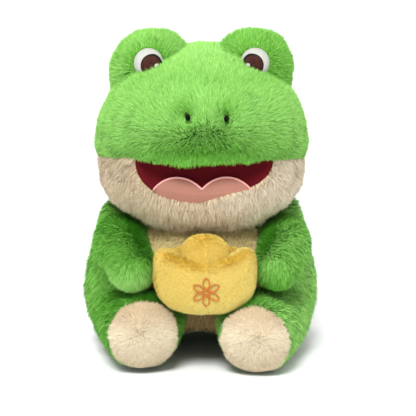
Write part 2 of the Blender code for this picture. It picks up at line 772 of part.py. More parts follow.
def main():
    """Clear the scene and sew the frog."""
    for item in list(bpy.data.objects):
        bpy.data.objects.remove(item, do_unlink=True)
    green = cloth("green pile", (0.17, 0.46, 0.06), 0.95)
    cream = cloth("cream pile", (0.72, 0.56, 0.36), 0.95)
    maroon = cloth("maroon velour", (0.10, 0.012, 0.018), 0.9)
    pink = cloth("pink felt", (0.60, 0.24, 0.20), 0.85)
    edging = cloth("pink satin stitch", (0.80, 0.36, 0.33), 0.5)
    white = cloth("white thread", (0.80, 0.78, 0.74), 0.6)
    brown = cloth("brown thread", (0.045, 0.022, 0.014), 0.5)
    black = cloth("black bead", (0.01, 0.012, 0.01), 0.25)
    gold = cloth("golden velour", (0.78, 0.50, 0.13), 0.9)
    orange = cloth("orange thread", (0.70, 0.22, 0.03), 0.6)
    stuffing = cloth("white fibre", (0.85, 0.85, 0.85), 1.0)
    make_head(green, cream, stuffing)
    make_mouth(maroon, pink, edging)
    make_eyes(green, stuffing, white, brown)
    make_nostrils(black)
    make_torso(green, cream, stuffing)
    make_arms(green, stuffing)
    make_legs(green, cream, stuffing)
    make_ingot(gold, stuffing, orange)
    move_over_origin()


main()
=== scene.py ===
"""Looks of a seated plush frog with a stuffed gold ingot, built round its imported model.

Lengths are in metres. The forms are worked out about the frog's own middle and moved over
the model's origin as each piece is kept.
"""

import json
import math

import bmesh
import bpy
import numpy as np
from bpy.props import FloatProperty, FloatVectorProperty, IntProperty, PointerProperty
from bpy.types import Operator, Panel, PropertyGroup
from mathutils import Matrix, Vector
from mathutils.bvhtree import BVHTree
from mathutils.kdtree import KDTree

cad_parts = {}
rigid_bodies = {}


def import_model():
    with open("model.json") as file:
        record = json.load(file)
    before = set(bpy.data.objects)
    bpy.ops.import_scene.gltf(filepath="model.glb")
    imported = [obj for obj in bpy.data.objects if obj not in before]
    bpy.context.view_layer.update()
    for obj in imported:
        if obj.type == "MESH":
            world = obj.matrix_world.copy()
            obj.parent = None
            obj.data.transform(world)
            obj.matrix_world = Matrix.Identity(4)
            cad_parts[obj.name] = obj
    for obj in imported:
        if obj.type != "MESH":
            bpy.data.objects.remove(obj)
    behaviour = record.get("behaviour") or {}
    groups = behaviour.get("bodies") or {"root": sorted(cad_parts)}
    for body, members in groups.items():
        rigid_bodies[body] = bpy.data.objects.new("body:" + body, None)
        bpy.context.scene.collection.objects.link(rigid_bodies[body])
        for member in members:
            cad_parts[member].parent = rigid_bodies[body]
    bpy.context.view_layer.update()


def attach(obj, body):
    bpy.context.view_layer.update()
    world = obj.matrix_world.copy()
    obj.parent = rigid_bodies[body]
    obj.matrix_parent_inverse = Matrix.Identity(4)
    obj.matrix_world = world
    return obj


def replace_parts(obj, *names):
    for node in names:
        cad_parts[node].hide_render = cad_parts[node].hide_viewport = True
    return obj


bl_info = {
    "name": "Plush frog",
    "version": (1, 0, 0),
    "blender": (4, 5, 0),
    "location": "View3D > Sidebar > Frog",
    "description": "Dresses the packed plush frog in pile, velour and thread",
    "category": "Object",
}

for spare in list(bpy.data.objects):
    bpy.data.objects.remove(spare, do_unlink=True)
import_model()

MM = 0.001
DEGREE = math.pi / 180
SIDES = (("left", 1), ("right", -1))
MAP = "OFBake"

# The middle of the frog's box is this far behind the middle of its head
FROG_SHIFT = 16 * MM

# Head rings: height, half width, reach in front and reach behind, as shares
HEAD_BASE = 101 * MM
HEAD_HEIGHT = 140 * MM
HEAD_HALF_WIDTH = 80.7 * MM
HEAD_FRONT = 83 * MM
HEAD_BACK = 59 * MM
HEAD_FULLNESS = 2.15
HEAD_RING_SHARES = (
    (0.0, 0.0, 0.18, -0.25),
    (0.014, 0.37, 0.48, 0.14),
    (0.05, 0.58, 0.675, 0.37),
    (0.11, 0.77, 0.81, 0.59),
    (0.186, 0.905, 0.905, 0.76),
    (0.271, 0.965, 0.95, 0.88),
    (0.371, 0.985, 0.97, 0.965),
    (0.471, 1.0, 1.0, 1.0),
    (0.571, 0.98, 0.995, 0.985),
    (0.664, 0.923, 0.94, 0.915),
    (0.75, 0.836, 0.83, 0.78),
    (0.829, 0.67, 0.65, 0.61),
    (0.893, 0.50, 0.47, 0.42),
    (0.943, 0.335, 0.31, 0.235),
    (0.982, 0.185, 0.18, 0.10),
    (1.0, 0.0, 0.036, -0.05),
)
JAW_SEAM_HEIGHT = 151.5 * MM
JAW_SEAM_RISE = 6.5 * DEGREE
BACK_SEAM_PLACE = 12 * MM

# Mouth pocket and tongue
MOUTH_HALF_WIDTH = 52 * MM
MOUTH_CORNER_HEIGHT = 158 * MM
MOUTH_DROP = 31.5 * MM
MOUTH_ROOF = 3 * MM
MOUTH_DEPTH = 22 * MM
MOUTH_CENTRE = 84 * MM
MOUTH_WRAP = 14 * MM
MOUTH_FULLNESS = 2.3
POCKET_GAP = 2 * MM
SKIN_OVERLAP = 0.5 * MM
FACE_FRONT = -20 * MM
LIP_FRONT = -40 * MM
LIP_RISE = 6.5 * MM
LIP_RISE_START = -6 * MM
LIP_RISE_WIDTH = 24 * MM
LINING_SETBACK = 5 * MM
LINING_MARGIN = 1 * MM
LINING_THICKNESS = 1.2 * MM
TONGUE_HALF_WIDTH = 36.5 * MM
TONGUE_SHIFT = -2 * MM
TONGUE_NOTCH_DROP = 21 * MM
TONGUE_LOBE_RISE = 8.4 * MM
TONGUE_LOBE_FULLNESS = 2.1
TONGUE_LIFT = 2.2 * MM
TONGUE_PLUMPNESS = 3.2 * MM
TONGUE_THICKNESS = 1.6 * MM
TONGUE_EDGE_LIFT = 2.8 * MM
TONGUE_EDGE_RADIUS = 0.8 * MM

# Eye mounds and eyes
MOUND_SPACING = 77 * MM
MOUND_HEIGHT = 213 * MM
MOUND_PLACE = 2 * MM
MOUND_HALF_WIDTH = 30.5 * MM
MOUND_HALF_DEPTH = 28.5 * MM
MOUND_HALF_HEIGHT = 36 * MM
MOUND_FULLNESS = 2.3
MOUND_LEAN = 2.5 * MM
MOUND_WIDENING = 0.8 * MM
MOUND_SWELL = 1.2 * MM
EYE_SPACING = 81 * MM
EYE_HEIGHT = 226.5 * MM
EYE_WHITE_RADIUS = 11.2 * MM
IRIS_RADIUS = 8.7 * MM
IRIS_INSET = 1.6 * MM
IRIS_DROP = 0.9 * MM
GLINT_RADIUS = 1.7 * MM
GLINT_INSET = 4.2 * MM
GLINT_DROP = 0.4 * MM
# Lift off the mound, thickness, and how far the rim curls back
WHITE_FORM = (0.6 * MM, 1.1 * MM, 2.8 * MM)
IRIS_FORM = (1.5 * MM, 0.9 * MM, 0.8 * MM)
GLINT_FORM = (2.3 * MM, 0.5 * MM, 0.3 * MM)
DISC_FULLNESS = 3.0
DISC_EDGE_FULLNESS = 1.6

# Nostrils, and the dents that they lie in
NOSTRIL_SPACING = 28.5 * MM
NOSTRIL_HEIGHT = 192.5 * MM
NOSTRIL_REACH = 79 * MM
DENT_RADIUS = 7 * MM
DENT_DEPTH = 4.2 * MM
BEAD_HALF_SIZE = (2.0 * MM, 3 * MM, 2.4 * MM)
BEAD_PROUDNESS = 0.8 * MM
BEAD_SHIFT = 1.5 * MM
LEFT_BEAD_DROP = 1 * MM

# Torso rings: height, half width, reach in front and reach behind, as shares
TORSO_HEIGHT = 121.5 * MM
TORSO_HALF_WIDTH = 90.5 * MM
TORSO_FRONT = 57 * MM
TORSO_BACK = 73 * MM
TORSO_FULLNESS = 2.1
TORSO_RING_SHARES = (
    (0.0, 0.0, -0.39, 0.30),
    (0.012, 0.49, 0.04, 0.68),
    (0.049, 0.69, 0.25, 0.82),
    (0.111, 0.85, 0.51, 0.92),
    (0.202, 0.955, 0.81, 0.98),
    (0.317, 1.0, 0.975, 1.0),
    (0.44, 1.0, 1.0, 1.0),
    (0.564, 0.972, 1.0, 0.965),
    (0.679, 0.917, 0.95, 0.897),
    (0.786, 0.855, 0.84, 0.795),
    (0.877, 0.765, 0.685, 0.66),
    (0.942, 0.61, 0.49, 0.493),
    (0.984, 0.37, 0.263, 0.288),
    (1.0, 0.0, -0.05, 0.04),
)
BELLY_HALF_WIDTH = 50 * MM
BELLY_HALF_HEIGHT = 56 * MM
BELLY_MIDDLE = 68 * MM
BELLY_TAIL_HALF_WIDTH = 26 * MM

# Where the torso is fuller or hollower: the chest, the vault between the legs, the shoulders
CHEST_MIDDLE = (0, -36 * MM, 92 * MM)
CHEST_RADIUS = 34 * MM
CHEST_SWELL = 5 * MM
VAULT_HEIGHT = 25 * MM
VAULT_SHIFT = 3 * MM
VAULT_HALF_WIDTH = 24 * MM
VAULT_END = 58 * MM
VAULT_SLOPE = 36 * MM
SHOULDER_TOP = (72 * MM, 0, 103 * MM)
SHOULDER_TOP_RADIUS = 20 * MM
SHOULDER_TOP_PUSH = (2.5 * MM, 0, 13 * MM)

# Arms: place outward, place forward, drop and radius, as shares from shoulder to paw
SHOULDER_SPACING = 120 * MM
SHOULDER_PLACE = 8 * MM
SHOULDER_HEIGHT = 89 * MM
SHOULDER_RADIUS = 22.5 * MM
ARM_REACH = 59 * MM
PAW_DROP = 11.5 * MM
PAW_RADIUS = 18.5 * MM
PAW_TIP = 17 * MM
ARM_RING_SHARES = (
    (0.0, 0.0, 0.0, 0.0),
    (0.03, 0.39, 0.04, 0.14),
    (0.0, 0.74, 0.30, 0.5),
    (-0.11, 1.0, 1.0, 1.0),
)

# Legs
REST_SQUASH = 0.5 * MM
HIP_SPACING = 107 * MM
HIP_PLACE = 22 * MM
HIP_RADIUS = 31 * MM
THIGH_RADIUS = 28.5 * MM
ANKLE_RADIUS = 28 * MM
LEG_REACH = {"left": 64 * MM, "right": 54 * MM}
LEG_TURN_IN = {"left": 15 * MM, "right": 6 * MM}
LEG_LIFT = {"left": 0.0 * MM, "right": 2.5 * MM}
SOLE_BULGE = 19 * MM
SOLE_SEAM = 6 * MM
SOLE_PILE_LIFT = 1.8 * MM
THIGH_INSIDE = (18 * MM, -6 * MM, 8 * MM)
THIGH_INSIDE_RADIUS = 18 * MM
THIGH_INSIDE_PUSH = (9 * MM, 0, 2 * MM)

# Ingot
INGOT_PLACE = 76 * MM
INGOT_HEIGHT = 66.5 * MM
INGOT_HALF_WIDTH = 38.5 * MM
INGOT_HALF_DEPTH = 22.5 * MM
INGOT_HALF_HEIGHT = 19 * MM
INGOT_TIP_RISE = 20 * MM
INGOT_KEEL_RISE = 4 * MM
INGOT_FULLNESS = 2.8
INGOT_DENT = ((4 * MM, -78 * MM, 49 * MM), 5 * MM, -2.5 * MM)
INGOT_DEPTH = -0.8 * MM
KEEL_SAG = 2.2 * MM
DOME_PLACE = 73 * MM
DOME_HEIGHT = 82 * MM
DOME_HALF_WIDTH = 20 * MM
DOME_HALF_DEPTH = 15 * MM
DOME_HALF_HEIGHT = 21.5 * MM
BACK_RIM_MIDDLE = (0, -66 * MM, 80 * MM)
BACK_RIM_HALF_SIZE = (34 * MM, 12 * MM, 13 * MM)
BACK_RIM_FULLNESS = 3
ROSETTE_PETALS = 6
ROSETTE_DROP = 1.5 * MM
ROSETTE_REACH = 6.6 * MM
ROSETTE_THREAD = 0.52 * MM
ROSETTE_LIFT = 1 * MM
PETAL_HALF_SIZE = (3.9 * MM, 2.3 * MM)
ROSETTE_CENTRE_HALF_SIZE = (1.9 * MM, 1.9 * MM)

# Strands to a square millimetre
FACE_STRANDS = 5.4
HEAD_BACK_STRANDS = 2.3
JAW_STRANDS = 4.6
FRINGE_STRANDS = 8
MOUND_STRANDS = 4.2
TORSO_STRANDS = 2.1
BELLY_STRANDS = 2.8
ARM_STRANDS = 5.0
LEG_STRANDS = 4.0
SOLE_STRANDS = 7.5
VELOUR_STRANDS = 9.5

# Width of a strand at its root, where it isn't the setting's
FINE_STRAND = 0.44 * MM
BELLY_STRAND = 0.6 * MM
SOLE_STRAND = 0.38 * MM
VELOUR_STRAND = 0.28 * MM

# Where the pile of the head ends, and what it runs away from
GREEN_OVERLAP = 2 * MM
GREEN_OVERLAP_TILT = 1.5 * MM
FACE_MOUTH_OVERLAP = 1 * MM
JAW_MOUTH_OVERLAP = 0.8 * MM
UPPER_LIP_DROP = 3 * MM
UPPER_LIP_INSET = 1 * MM
PARTING = (0, -72 * MM, 158 * MM)
PARTING_RADIUS = 36 * MM
STRAY_MIDDLE = (0, -75 * MM, 162 * MM)
STRAY_RADIUS = 26 * MM
JAW_PARTING = (0, -60 * MM, 165 * MM)
NOSTRIL_CLEARANCE = 2.3 * MM
FRINGE_HALF_WIDTH = 51 * MM
FRINGE_ARCH = 4 * MM
FRINGE_OVERLAP = 1 * MM
FRINGE_DEPTH = 7 * MM
EYE_OVERLAP = 0.5 * MM

# Where the pile of the head changes its tone: painted light and shade
# A darker patch on the muzzle's underside, painted shade
MUZZLE_HEIGHT = 160 * MM
MUZZLE_HALF_HEIGHT = 17 * MM
MUZZLE_HALF_WIDTH = 44 * MM
# Width round each nostril of shorter pile, and of darker pile a little above it: painted shade of
# the dimple
NOSTRIL_SHADE = 6 * MM
NOSTRIL_SHADE_RISE = 3 * MM
# Paler on the crown than on the forehead, painted light from above
FACE_TONE_HEIGHTS = (150 * MM, 185 * MM, 215 * MM, 232 * MM)
FACE_TONES = (0.42, 0.50, 0.37, 0.58)
# The jaw paler on the frog's left than on its right, painted light
JAW_TONE_REACH = 60 * MM

# Where a change of the pile starts, and how far it goes on: negative is down or forward
HEAD_FALL = (205 * MM, -55 * MM)
CROWN_SHORTER = (195 * MM, 25 * MM)
CROWN_SMOOTHER = (195 * MM, 20 * MM)
SEAM_LONGER = (0, 13 * MM)
CHEEK_OUT = (58 * MM, 15 * MM)
CHEEK_UP = (160 * MM, 15 * MM)
MUZZLE_FORWARD = (-30 * MM, -25 * MM)
CHIN_DOWN = (138 * MM, -18 * MM)
CHIN_IN = (50 * MM, -14 * MM)
# Round the eye the pile is shorter, and painted darker as shade in the dip round the eye
EYE_PRESS_AND_SHADE = (EYE_WHITE_RADIUS, 9 * MM)
MOUND_DOWN = (222 * MM, -15 * MM)
# The belly backing turns from painted shade to painted light over this
BELLY_UP = (40 * MM, 48 * MM)
BACK_UP = (2 * MM, 10 * MM)
PAW_DOWN = (86 * MM, -22 * MM)
PAW_FORWARD = (-20 * MM, -45 * MM)
THIGH_BACK = (0, -14 * MM)
# The sole pile is painted darker towards its bottom and its top, as shade
SOLE_DOWN = (34 * MM, -26 * MM)
SOLE_UP = (31 * MM, 15 * MM)
FLOOR_UP = (1 * MM, 9 * MM)
RIBBON_UP = (1 * MM, 3 * MM)

# Other places of the pile below the head
# The belly pile's tone rises from painted shade between the legs to painted light under the chin
BELLY_TONE_HEIGHTS = (40 * MM, 86 * MM)
BELLY_TONES = (0.0, 0.92)
BACK_PILE_HEIGHT = 1 * MM
LEG_PILE_HEIGHT = 2 * MM
LEG_PILE_END = 2 * MM
SOLE_PARTING_OUT = 3 * MM
SOLE_PARTING_RISE = 5 * MM
INGOT_PILE_REAR = -50 * MM
# The boat's velour: painted shade on the frog's right, and a painted highlight across the middle
BOAT_TONE_REACH = 30 * MM
BOAT_HIGHLIGHT_WIDTH = 15 * MM

# Tone of the green pile, 0 deep to 1 pale: at the shoulder and the paw, and along the leg; painted
# light and shade, so the sides differ
ARM_TONES = {"left": (0.34, 0.02), "right": (0.1, 0.8)}
LEG_TONE = {"left": 0.6, "right": 0.06}

# How deep inside a neighbouring pad strands may still root
SEAM_SINK = 1.5 * MM
INGOT_SINK = 1 * MM
JOINT_SINK = 7 * MM
ARM_SINK = 9 * MM
LEG_SINK = 5 * MM

# Strands: how their lean and length vary, how they clump and taper, and their place in the map
LEAN_JITTER = 11 * DEGREE
TURN_PATCH = 18 * MM
LENGTH_PATCH = 12 * MM
CLUMP_STRENGTH = 0.8
STRAND_TAPER = 0.45
MAP_WIDTH = 0.045

# Nothing soft comes closer to the floor than this
FLOOR_GAP = 0.3 * MM

# Stage: the way the light shines, and what the camera looks at and how much it takes in
KEY_DIRECTION = (0.14, 0.62, -0.76)
KEY_ANGLE = 24 * DEGREE
CAMERA_TARGET = (5.46 * MM, FROG_SHIFT, 110.8 * MM)
SENSOR_WIDTH = 36
PICTURE_WIDTH = 416 * 0.78 * MM

# Material and slot of each cloth that has a pile
CLOTHS = {
    "green": ("green pile", "green_pile"),
    "cream": ("cream pile", "cream_pile"),
    "belly": ("belly pile", "cream_pile"),
    "sole": ("sole pile", "cream_pile"),
    "gold": ("golden velour", "golden_velour"),
}

# Facets round and along each form, and round and along one that only covers others
HEAD_FACETS = (128, 96)
TORSO_FACETS = (128, 80)
LIMB_FACETS = (64, 64)
MOUND_FACETS = (64, 48)
INGOT_FACETS = (96, 64)
MOUTH_FACETS = (96, 64)
EYE_FACETS = (64, 48)
BEAD_FACETS = (32, 24)
COVER_FACETS = (64, 40)
LIMB_COVER_FACETS = (32, 32)
SMALL_COVER_FACETS = (32, 24)


def length_property(name, description, size):
    """A length that a user may change."""
    return FloatProperty(name=name, description=description, default=size, min=0.0,
                         precision=4, subtype="DISTANCE", unit="LENGTH")


def colour_property(name, description, colour):
    """A colour that a user may change."""
    return FloatVectorProperty(name=name, description=description, default=colour,
                               min=0.0, max=1.0, size=3, subtype="COLOR")


class FrogPile(PropertyGroup):
    """How long and how dense the pile is on each panel."""

    backing_depth: length_property(
        "Backing depth", "How far the backing cloth lies under the outer size", 4 * MM)
    face_length: length_property("Face", "Length of the pile on the head", 8.5 * MM)
    fringe_length: length_property(
        "Fringe", "Length of the strands that hang over the mouth", 11 * MM)
    body_length: length_property("Body", "Length of the pile on the torso", 8.5 * MM)
    limb_length: length_property("Limbs", "Length of the pile on arms and legs", 10 * MM)
    sole_length: length_property("Soles", "Length of the pile on the soles", 7.5 * MM)
    velour_length: length_property("Velour", "Length of the short pile", 2.2 * MM)
    strand_width: length_property("Strand", "Width of one strand at its root", 0.5 * MM)
    density: FloatProperty(name="Density", description="Share of the full strand count",
                           default=0.94, min=0.05, max=1.0, subtype="FACTOR")
    seed: IntProperty(name="Seed", description="Start of the scatter of the strands",
                      default=7, min=0)


class FrogColours(PropertyGroup):
    """The colours of each cloth and thread."""

    # The green root is darker than the strands: painted shade in the depth of the pile
    green_root: colour_property("Green root", "Green pile in its depth", (0.075, 0.24, 0.012))
    green_deep: colour_property("Green deep", "Darker strands", (0.10, 0.39, 0.022))
    green_pale: colour_property("Green pale", "Paler strands", (0.48, 0.86, 0.25))
    cream_root: colour_property("Cream root", "Cream pile in its depth", (0.76, 0.56, 0.32))
    cream_deep: colour_property("Cream deep", "Darker strands", (0.58, 0.46, 0.30))
    cream_pale: colour_property("Cream pale", "Paler strands", (0.97, 0.90, 0.74))
    belly_root: colour_property("Belly root", "Belly pile in its depth", (0.62, 0.42, 0.18))
    # Belly colours: the dark brown between the legs is painted shade, the bright cream under the
    # chin painted light
    belly_deep: colour_property("Belly deep", "Belly pile between the legs", (0.23, 0.13, 0.045))
    belly_pale: colour_property("Belly pale", "Belly pile under the chin", (1.0, 0.86, 0.42))
    sole_root: colour_property("Sole root", "Sole pile in its depth", (0.78, 0.64, 0.44))
    sole_deep: colour_property("Sole deep", "Darker strands", (0.58, 0.44, 0.27))
    sole_pale: colour_property("Sole pale", "Paler strands", (0.93, 0.84, 0.63))
    gold_root: colour_property("Gold root", "Gold velour in its depth", (0.78, 0.55, 0.10))
    gold_deep: colour_property("Gold deep", "Darker strands", (0.80, 0.57, 0.11))
    gold_pale: colour_property("Gold pale", "Paler strands", (0.96, 0.85, 0.29))
    maroon: colour_property("Maroon", "Lining of the mouth", (0.09, 0.003, 0.006))
    pink: colour_property("Pink", "Felt of the tongue", (0.34, 0.15, 0.11))
    pink_edge: colour_property("Pink edge", "Stitched edge of the tongue", (0.78, 0.36, 0.32))
    white: colour_property("White", "Thread of the whites", (0.50, 0.51, 0.46))
    iris: colour_property("Iris", "Thread of the iris", (0.065, 0.018, 0.013))
    outline: colour_property("Outline", "Thread round the iris", (0.010, 0.007, 0.006))
    orange: colour_property("Orange", "Thread of the rosette", (0.56, 0.16, 0.015))
    bead: colour_property("Bead", "Nostril beads", (0.002, 0.002, 0.002))


class FrogStage(PropertyGroup):
    """The floor, the lights and the camera."""

    distance: length_property("Distance", "From the camera to the frog", 1.6)
    height: FloatProperty(name="Elevation", description="Camera's angle above the horizon",
                          default=10 * DEGREE, subtype="ANGLE")
    turn: FloatProperty(name="Turn", description="Camera's angle to the frog's right",
                        default=2.4 * DEGREE, subtype="ANGLE")
    key: FloatProperty(name="Key light", description="Strength of the broad light above",
                       default=3.2, min=0.0)
    fill: FloatProperty(name="Fill", description="Strength of the light from all round",
                        default=0.8, min=0.0)


# Forms

def between(stations, share):
    """A point on the smooth curve through the stations, share 0 at the first and 1 at the last."""
    place = share * (len(stations) - 1)
    index = min(int(place), len(stations) - 2)
    step = place - index
    before = stations[max(index - 1, 0)]
    start = stations[index]
    end = stations[index + 1]
    after = stations[min(index + 2, len(stations) - 1)]
    values = []
    for p, q, r, s in zip(before, start, end, after):
        bend = q + (r - p) * 0.5 * step
        bend += (p - q * 2.5 + r * 2 - s * 0.5) * step ** 2
        bend += ((q - r) * 1.5 + (s - p) * 0.5) * step ** 3
        values.append(bend)
    return values


def fuller(value, fullness):
    """Square up a cosine or sine: 2 keeps a circle, more makes the ring fuller."""
    return math.copysign(abs(value) ** (2 / fullness), value)


def ball(around, along):
    """A unit ball in rings from its lower pole up, its points in the same order every run."""
    mesh = bmesh.new()
    rings = []
    for index in range(1, along):
        polar = math.pi * index / along
        turns = [2 * math.pi * (step + 0.5) / around for step in range(around)]
        rings.append([mesh.verts.new((math.sin(polar) * math.cos(turn),
                                      math.sin(polar) * math.sin(turn), -math.cos(polar)))
                      for turn in turns])
    bottom = mesh.verts.new((0, 0, -1))
    top = mesh.verts.new((0, 0, 1))
    for step in range(around):
        after = (step + 1) % around
        mesh.faces.new((bottom, rings[0][after], rings[0][step]))
        for ring, above in zip(rings, rings[1:]):
            mesh.faces.new((ring[step], ring[after], above[after], above[step]))
        mesh.faces.new((rings[-1][step], rings[-1][after], top))
    return mesh


def hump(point, middle, radius):
    """1 at the middle, falling smoothly to nothing beyond the radius."""
    return math.exp(-((point - Vector(middle)).length / radius) ** 2)


def shaped_ball(facets, place, swell=0.0, dents=()):
    """A ball whose points are moved by place, swollen along its normals, then dented."""
    mesh = ball(*facets)
    for vertex in mesh.verts:
        vertex.co = place(vertex.co.normalized())
    bmesh.ops.recalc_face_normals(mesh, faces=mesh.faces)
    mesh.normal_update()
    for vertex in mesh.verts:
        push = swell
        for spot, radius, depth in dents:
            push += depth * hump(vertex.co, spot, radius)
        vertex.co += vertex.normal * push
    mesh.normal_update()
    return mesh


def stuffed_form(facets, stations, fullness, swell=0.0, dents=()):
    """A form through rings, each a centre, a vector to its side and a vector to its front."""
    def place(point):
        share = math.acos(max(-1, min(1, -point.z))) / math.pi
        centre, side, front = between(stations, share)
        turn = math.atan2(point.y, point.x)
        return (centre + side * fuller(math.cos(turn), fullness)
                + front * fuller(math.sin(turn), fullness))
    return shaped_ball(facets, place, swell, dents)


def upright_stations(shares, base, height, half_width, front, back):
    """Rings of an upright form, from shares of its height, width and reach each way."""
    stations = []
    for height_share, width_share, front_share, back_share in shares:
        near = -front * front_share
        far = back * back_share
        centre = Vector((0, (near + far) / 2, base + height * height_share))
        side = Vector((half_width * width_share, 0, 0))
        stations.append((centre, side, Vector((0, (far - near) / 2, 0))))
    return stations


def limb_stations(path, radii, tip):
    """Rings of a limb: half a ball behind its first point, its path, and a round end."""
    stations = []
    first = (path[1] - path[0]).normalized()
    last = (path[-1] - path[-2]).normalized()

    def ring(centre, along, radius):
        side = along.cross(Vector((0, 0, 1))).normalized()
        stations.append((centre, side * radius, side.cross(along) * radius))

    for turn in (-90, -60, -30):
        back = path[0] + first * radii[0] * math.sin(turn * DEGREE)
        ring(back, first, radii[0] * math.cos(turn * DEGREE))
    for index, point in enumerate(path):
        ahead = path[min(index + 1, len(path) - 1)] - path[max(index - 1, 0)]
        ring(point, ahead.normalized(), radii[index])
    for turn in (30, 60, 90):
        end = path[-1] + last * tip * math.sin(turn * DEGREE)
        ring(end, last, radii[-1] * math.cos(turn * DEGREE))
    return stations


def mirrored(place, way):
    """A vector whose first value is outward, for the side that way stands for."""
    return Vector((way * place[0], place[1], place[2]))


def head_form(swell=0.0, facets=HEAD_FACETS):
    """The head with its cheeks, its muzzle and the dimples of its nostrils."""
    stations = upright_stations(HEAD_RING_SHARES, HEAD_BASE, HEAD_HEIGHT,
                                HEAD_HALF_WIDTH, HEAD_FRONT, HEAD_BACK)
    dents = [(nostril(way), DENT_RADIUS, -DENT_DEPTH) for _, way in SIDES]
    return stuffed_form(facets, stations, HEAD_FULLNESS, swell, dents)


def nostril(way):
    """Where one nostril sits on the muzzle."""
    return Vector((way * NOSTRIL_SPACING / 2, -NOSTRIL_REACH, NOSTRIL_HEIGHT))


def bead_place(way):
    """The middle of one nostril bead, which sits a little off the dent it lies in."""
    return nostril(way) + Vector((BEAD_SHIFT, 0, -LEFT_BEAD_DROP * (1 + way) / 2))


def torso_form(swell=0.0, facets=TORSO_FACETS):
    """The body below the head, without its limbs."""
    stations = upright_stations(TORSO_RING_SHARES, -REST_SQUASH, TORSO_HEIGHT,
                                TORSO_HALF_WIDTH, TORSO_FRONT, TORSO_BACK)
    chest = (CHEST_MIDDLE, CHEST_RADIUS, CHEST_SWELL)
    form = stuffed_form(facets, stations, TORSO_FULLNESS, swell, [chest])
    for vertex in form.verts:
        vault = VAULT_HEIGHT * math.exp(-((vertex.co.x + VAULT_SHIFT) / VAULT_HALF_WIDTH) ** 4)
        vault *= min(1, max(0, (VAULT_END - vertex.co.y) / VAULT_SLOPE))
        vertex.co.z = (max(vertex.co.z, 0) ** 4 + vault ** 4) ** 0.25
        for _, way in SIDES:
            push = hump(vertex.co, mirrored(SHOULDER_TOP, way), SHOULDER_TOP_RADIUS)
            vertex.co += mirrored(SHOULDER_TOP_PUSH, way) * push
    form.normal_update()
    return form


def mound_form(way, swell=0.0, facets=MOUND_FACETS):
    """One eye mound, a dome that sinks into the head."""
    def place(point):
        flat = math.hypot(point.x, point.y) or 1
        ring = fuller(flat, MOUND_FULLNESS)
        lean = MOUND_LEAN * max(0, point.z)
        return Vector((way * MOUND_SPACING / 2 + lean
                       + (MOUND_HALF_WIDTH + MOUND_WIDENING) * ring * point.x / flat,
                       MOUND_PLACE + MOUND_HALF_DEPTH * ring * point.y / flat,
                       MOUND_HEIGHT + MOUND_HALF_HEIGHT * fuller(point.z, MOUND_FULLNESS)))
    return shaped_ball(facets, place, swell)


def mound_front(way, x, z):
    """The place along Y of the mound's front at a point of it."""
    tall = min(1, abs(z - MOUND_HEIGHT) / MOUND_HALF_HEIGHT)
    wide = (x - way * MOUND_SPACING / 2) / MOUND_HALF_WIDTH
    left = (1 - tall ** MOUND_FULLNESS) ** (2 / MOUND_FULLNESS) - wide ** 2
    return MOUND_PLACE - MOUND_HALF_DEPTH * math.sqrt(max(0, left))


def shoulder(way):
    """The middle of one shoulder ball."""
    return Vector((way * SHOULDER_SPACING / 2, -SHOULDER_PLACE, SHOULDER_HEIGHT))


def hip(way):
    """The middle of one hip ball, which rests on the floor."""
    return Vector((way * HIP_SPACING / 2, -HIP_PLACE, HIP_RADIUS - REST_SQUASH))


def arm_path(way):
    """The middle line of one arm and its radii."""
    path = []
    radii = []
    for out_share, ahead_share, drop_share, slim_share in ARM_RING_SHARES:
        shift = Vector((way * ARM_REACH * out_share, -ARM_REACH * ahead_share,
                        -PAW_DROP * drop_share))
        path.append(shoulder(way) + shift)
        radii.append(SHOULDER_RADIUS + (PAW_RADIUS - SHOULDER_RADIUS) * slim_share)
    return path, radii


def arm_form(way, swell=0.0, facets=LIMB_FACETS):
    """One arm from its shoulder ball to its paw."""
    path, radii = arm_path(way)
    return stuffed_form(facets, limb_stations(path, radii, PAW_TIP), 2, swell)


def leg_path(side, way):
    """The middle line of one leg, from its hip to its ankle."""
    ankle = Vector((hip(way).x - way * LEG_TURN_IN[side], hip(way).y - LEG_REACH[side],
                    ANKLE_RADIUS - REST_SQUASH + LEG_LIFT[side]))
    thigh = hip(way).lerp(ankle, 0.5)
    thigh.z = THIGH_RADIUS - REST_SQUASH + LEG_LIFT[side] / 2
    return [hip(way), thigh, ankle]


def leg_form(side, way, swell=0.0, facets=LIMB_FACETS):
    """One leg from its hip ball to its sole."""
    radii = [HIP_RADIUS, THIGH_RADIUS, ANKLE_RADIUS]
    path = leg_path(side, way)
    form = stuffed_form(facets, limb_stations(path, radii, SOLE_BULGE), 2, swell)
    inside = path[1] + mirrored(THIGH_INSIDE, -way)
    for vertex in form.verts:
        push = hump(vertex.co, inside, THIGH_INSIDE_RADIUS)
        vertex.co += mirrored(THIGH_INSIDE_PUSH, -way) * push
    form.normal_update()
    return form


def ingot_form(swell=0.0, facets=INGOT_FACETS):
    """The boat of the ingot, its rim swept up to both tips."""
    def place(point):
        wide = fuller(point.x, INGOT_FULLNESS)
        tall = fuller(point.z, INGOT_FULLNESS)
        rise = INGOT_KEEL_RISE + (INGOT_TIP_RISE - INGOT_KEEL_RISE) * (tall + 1) / 2
        return Vector((INGOT_HALF_WIDTH * wide,
                       -INGOT_PLACE + INGOT_HALF_DEPTH * fuller(point.y, INGOT_FULLNESS),
                       INGOT_HEIGHT + INGOT_HALF_HEIGHT * tall + rise * wide ** 2
                       - KEEL_SAG * max(0, -tall)))

    return shaped_ball(facets, place, swell, [INGOT_DENT])


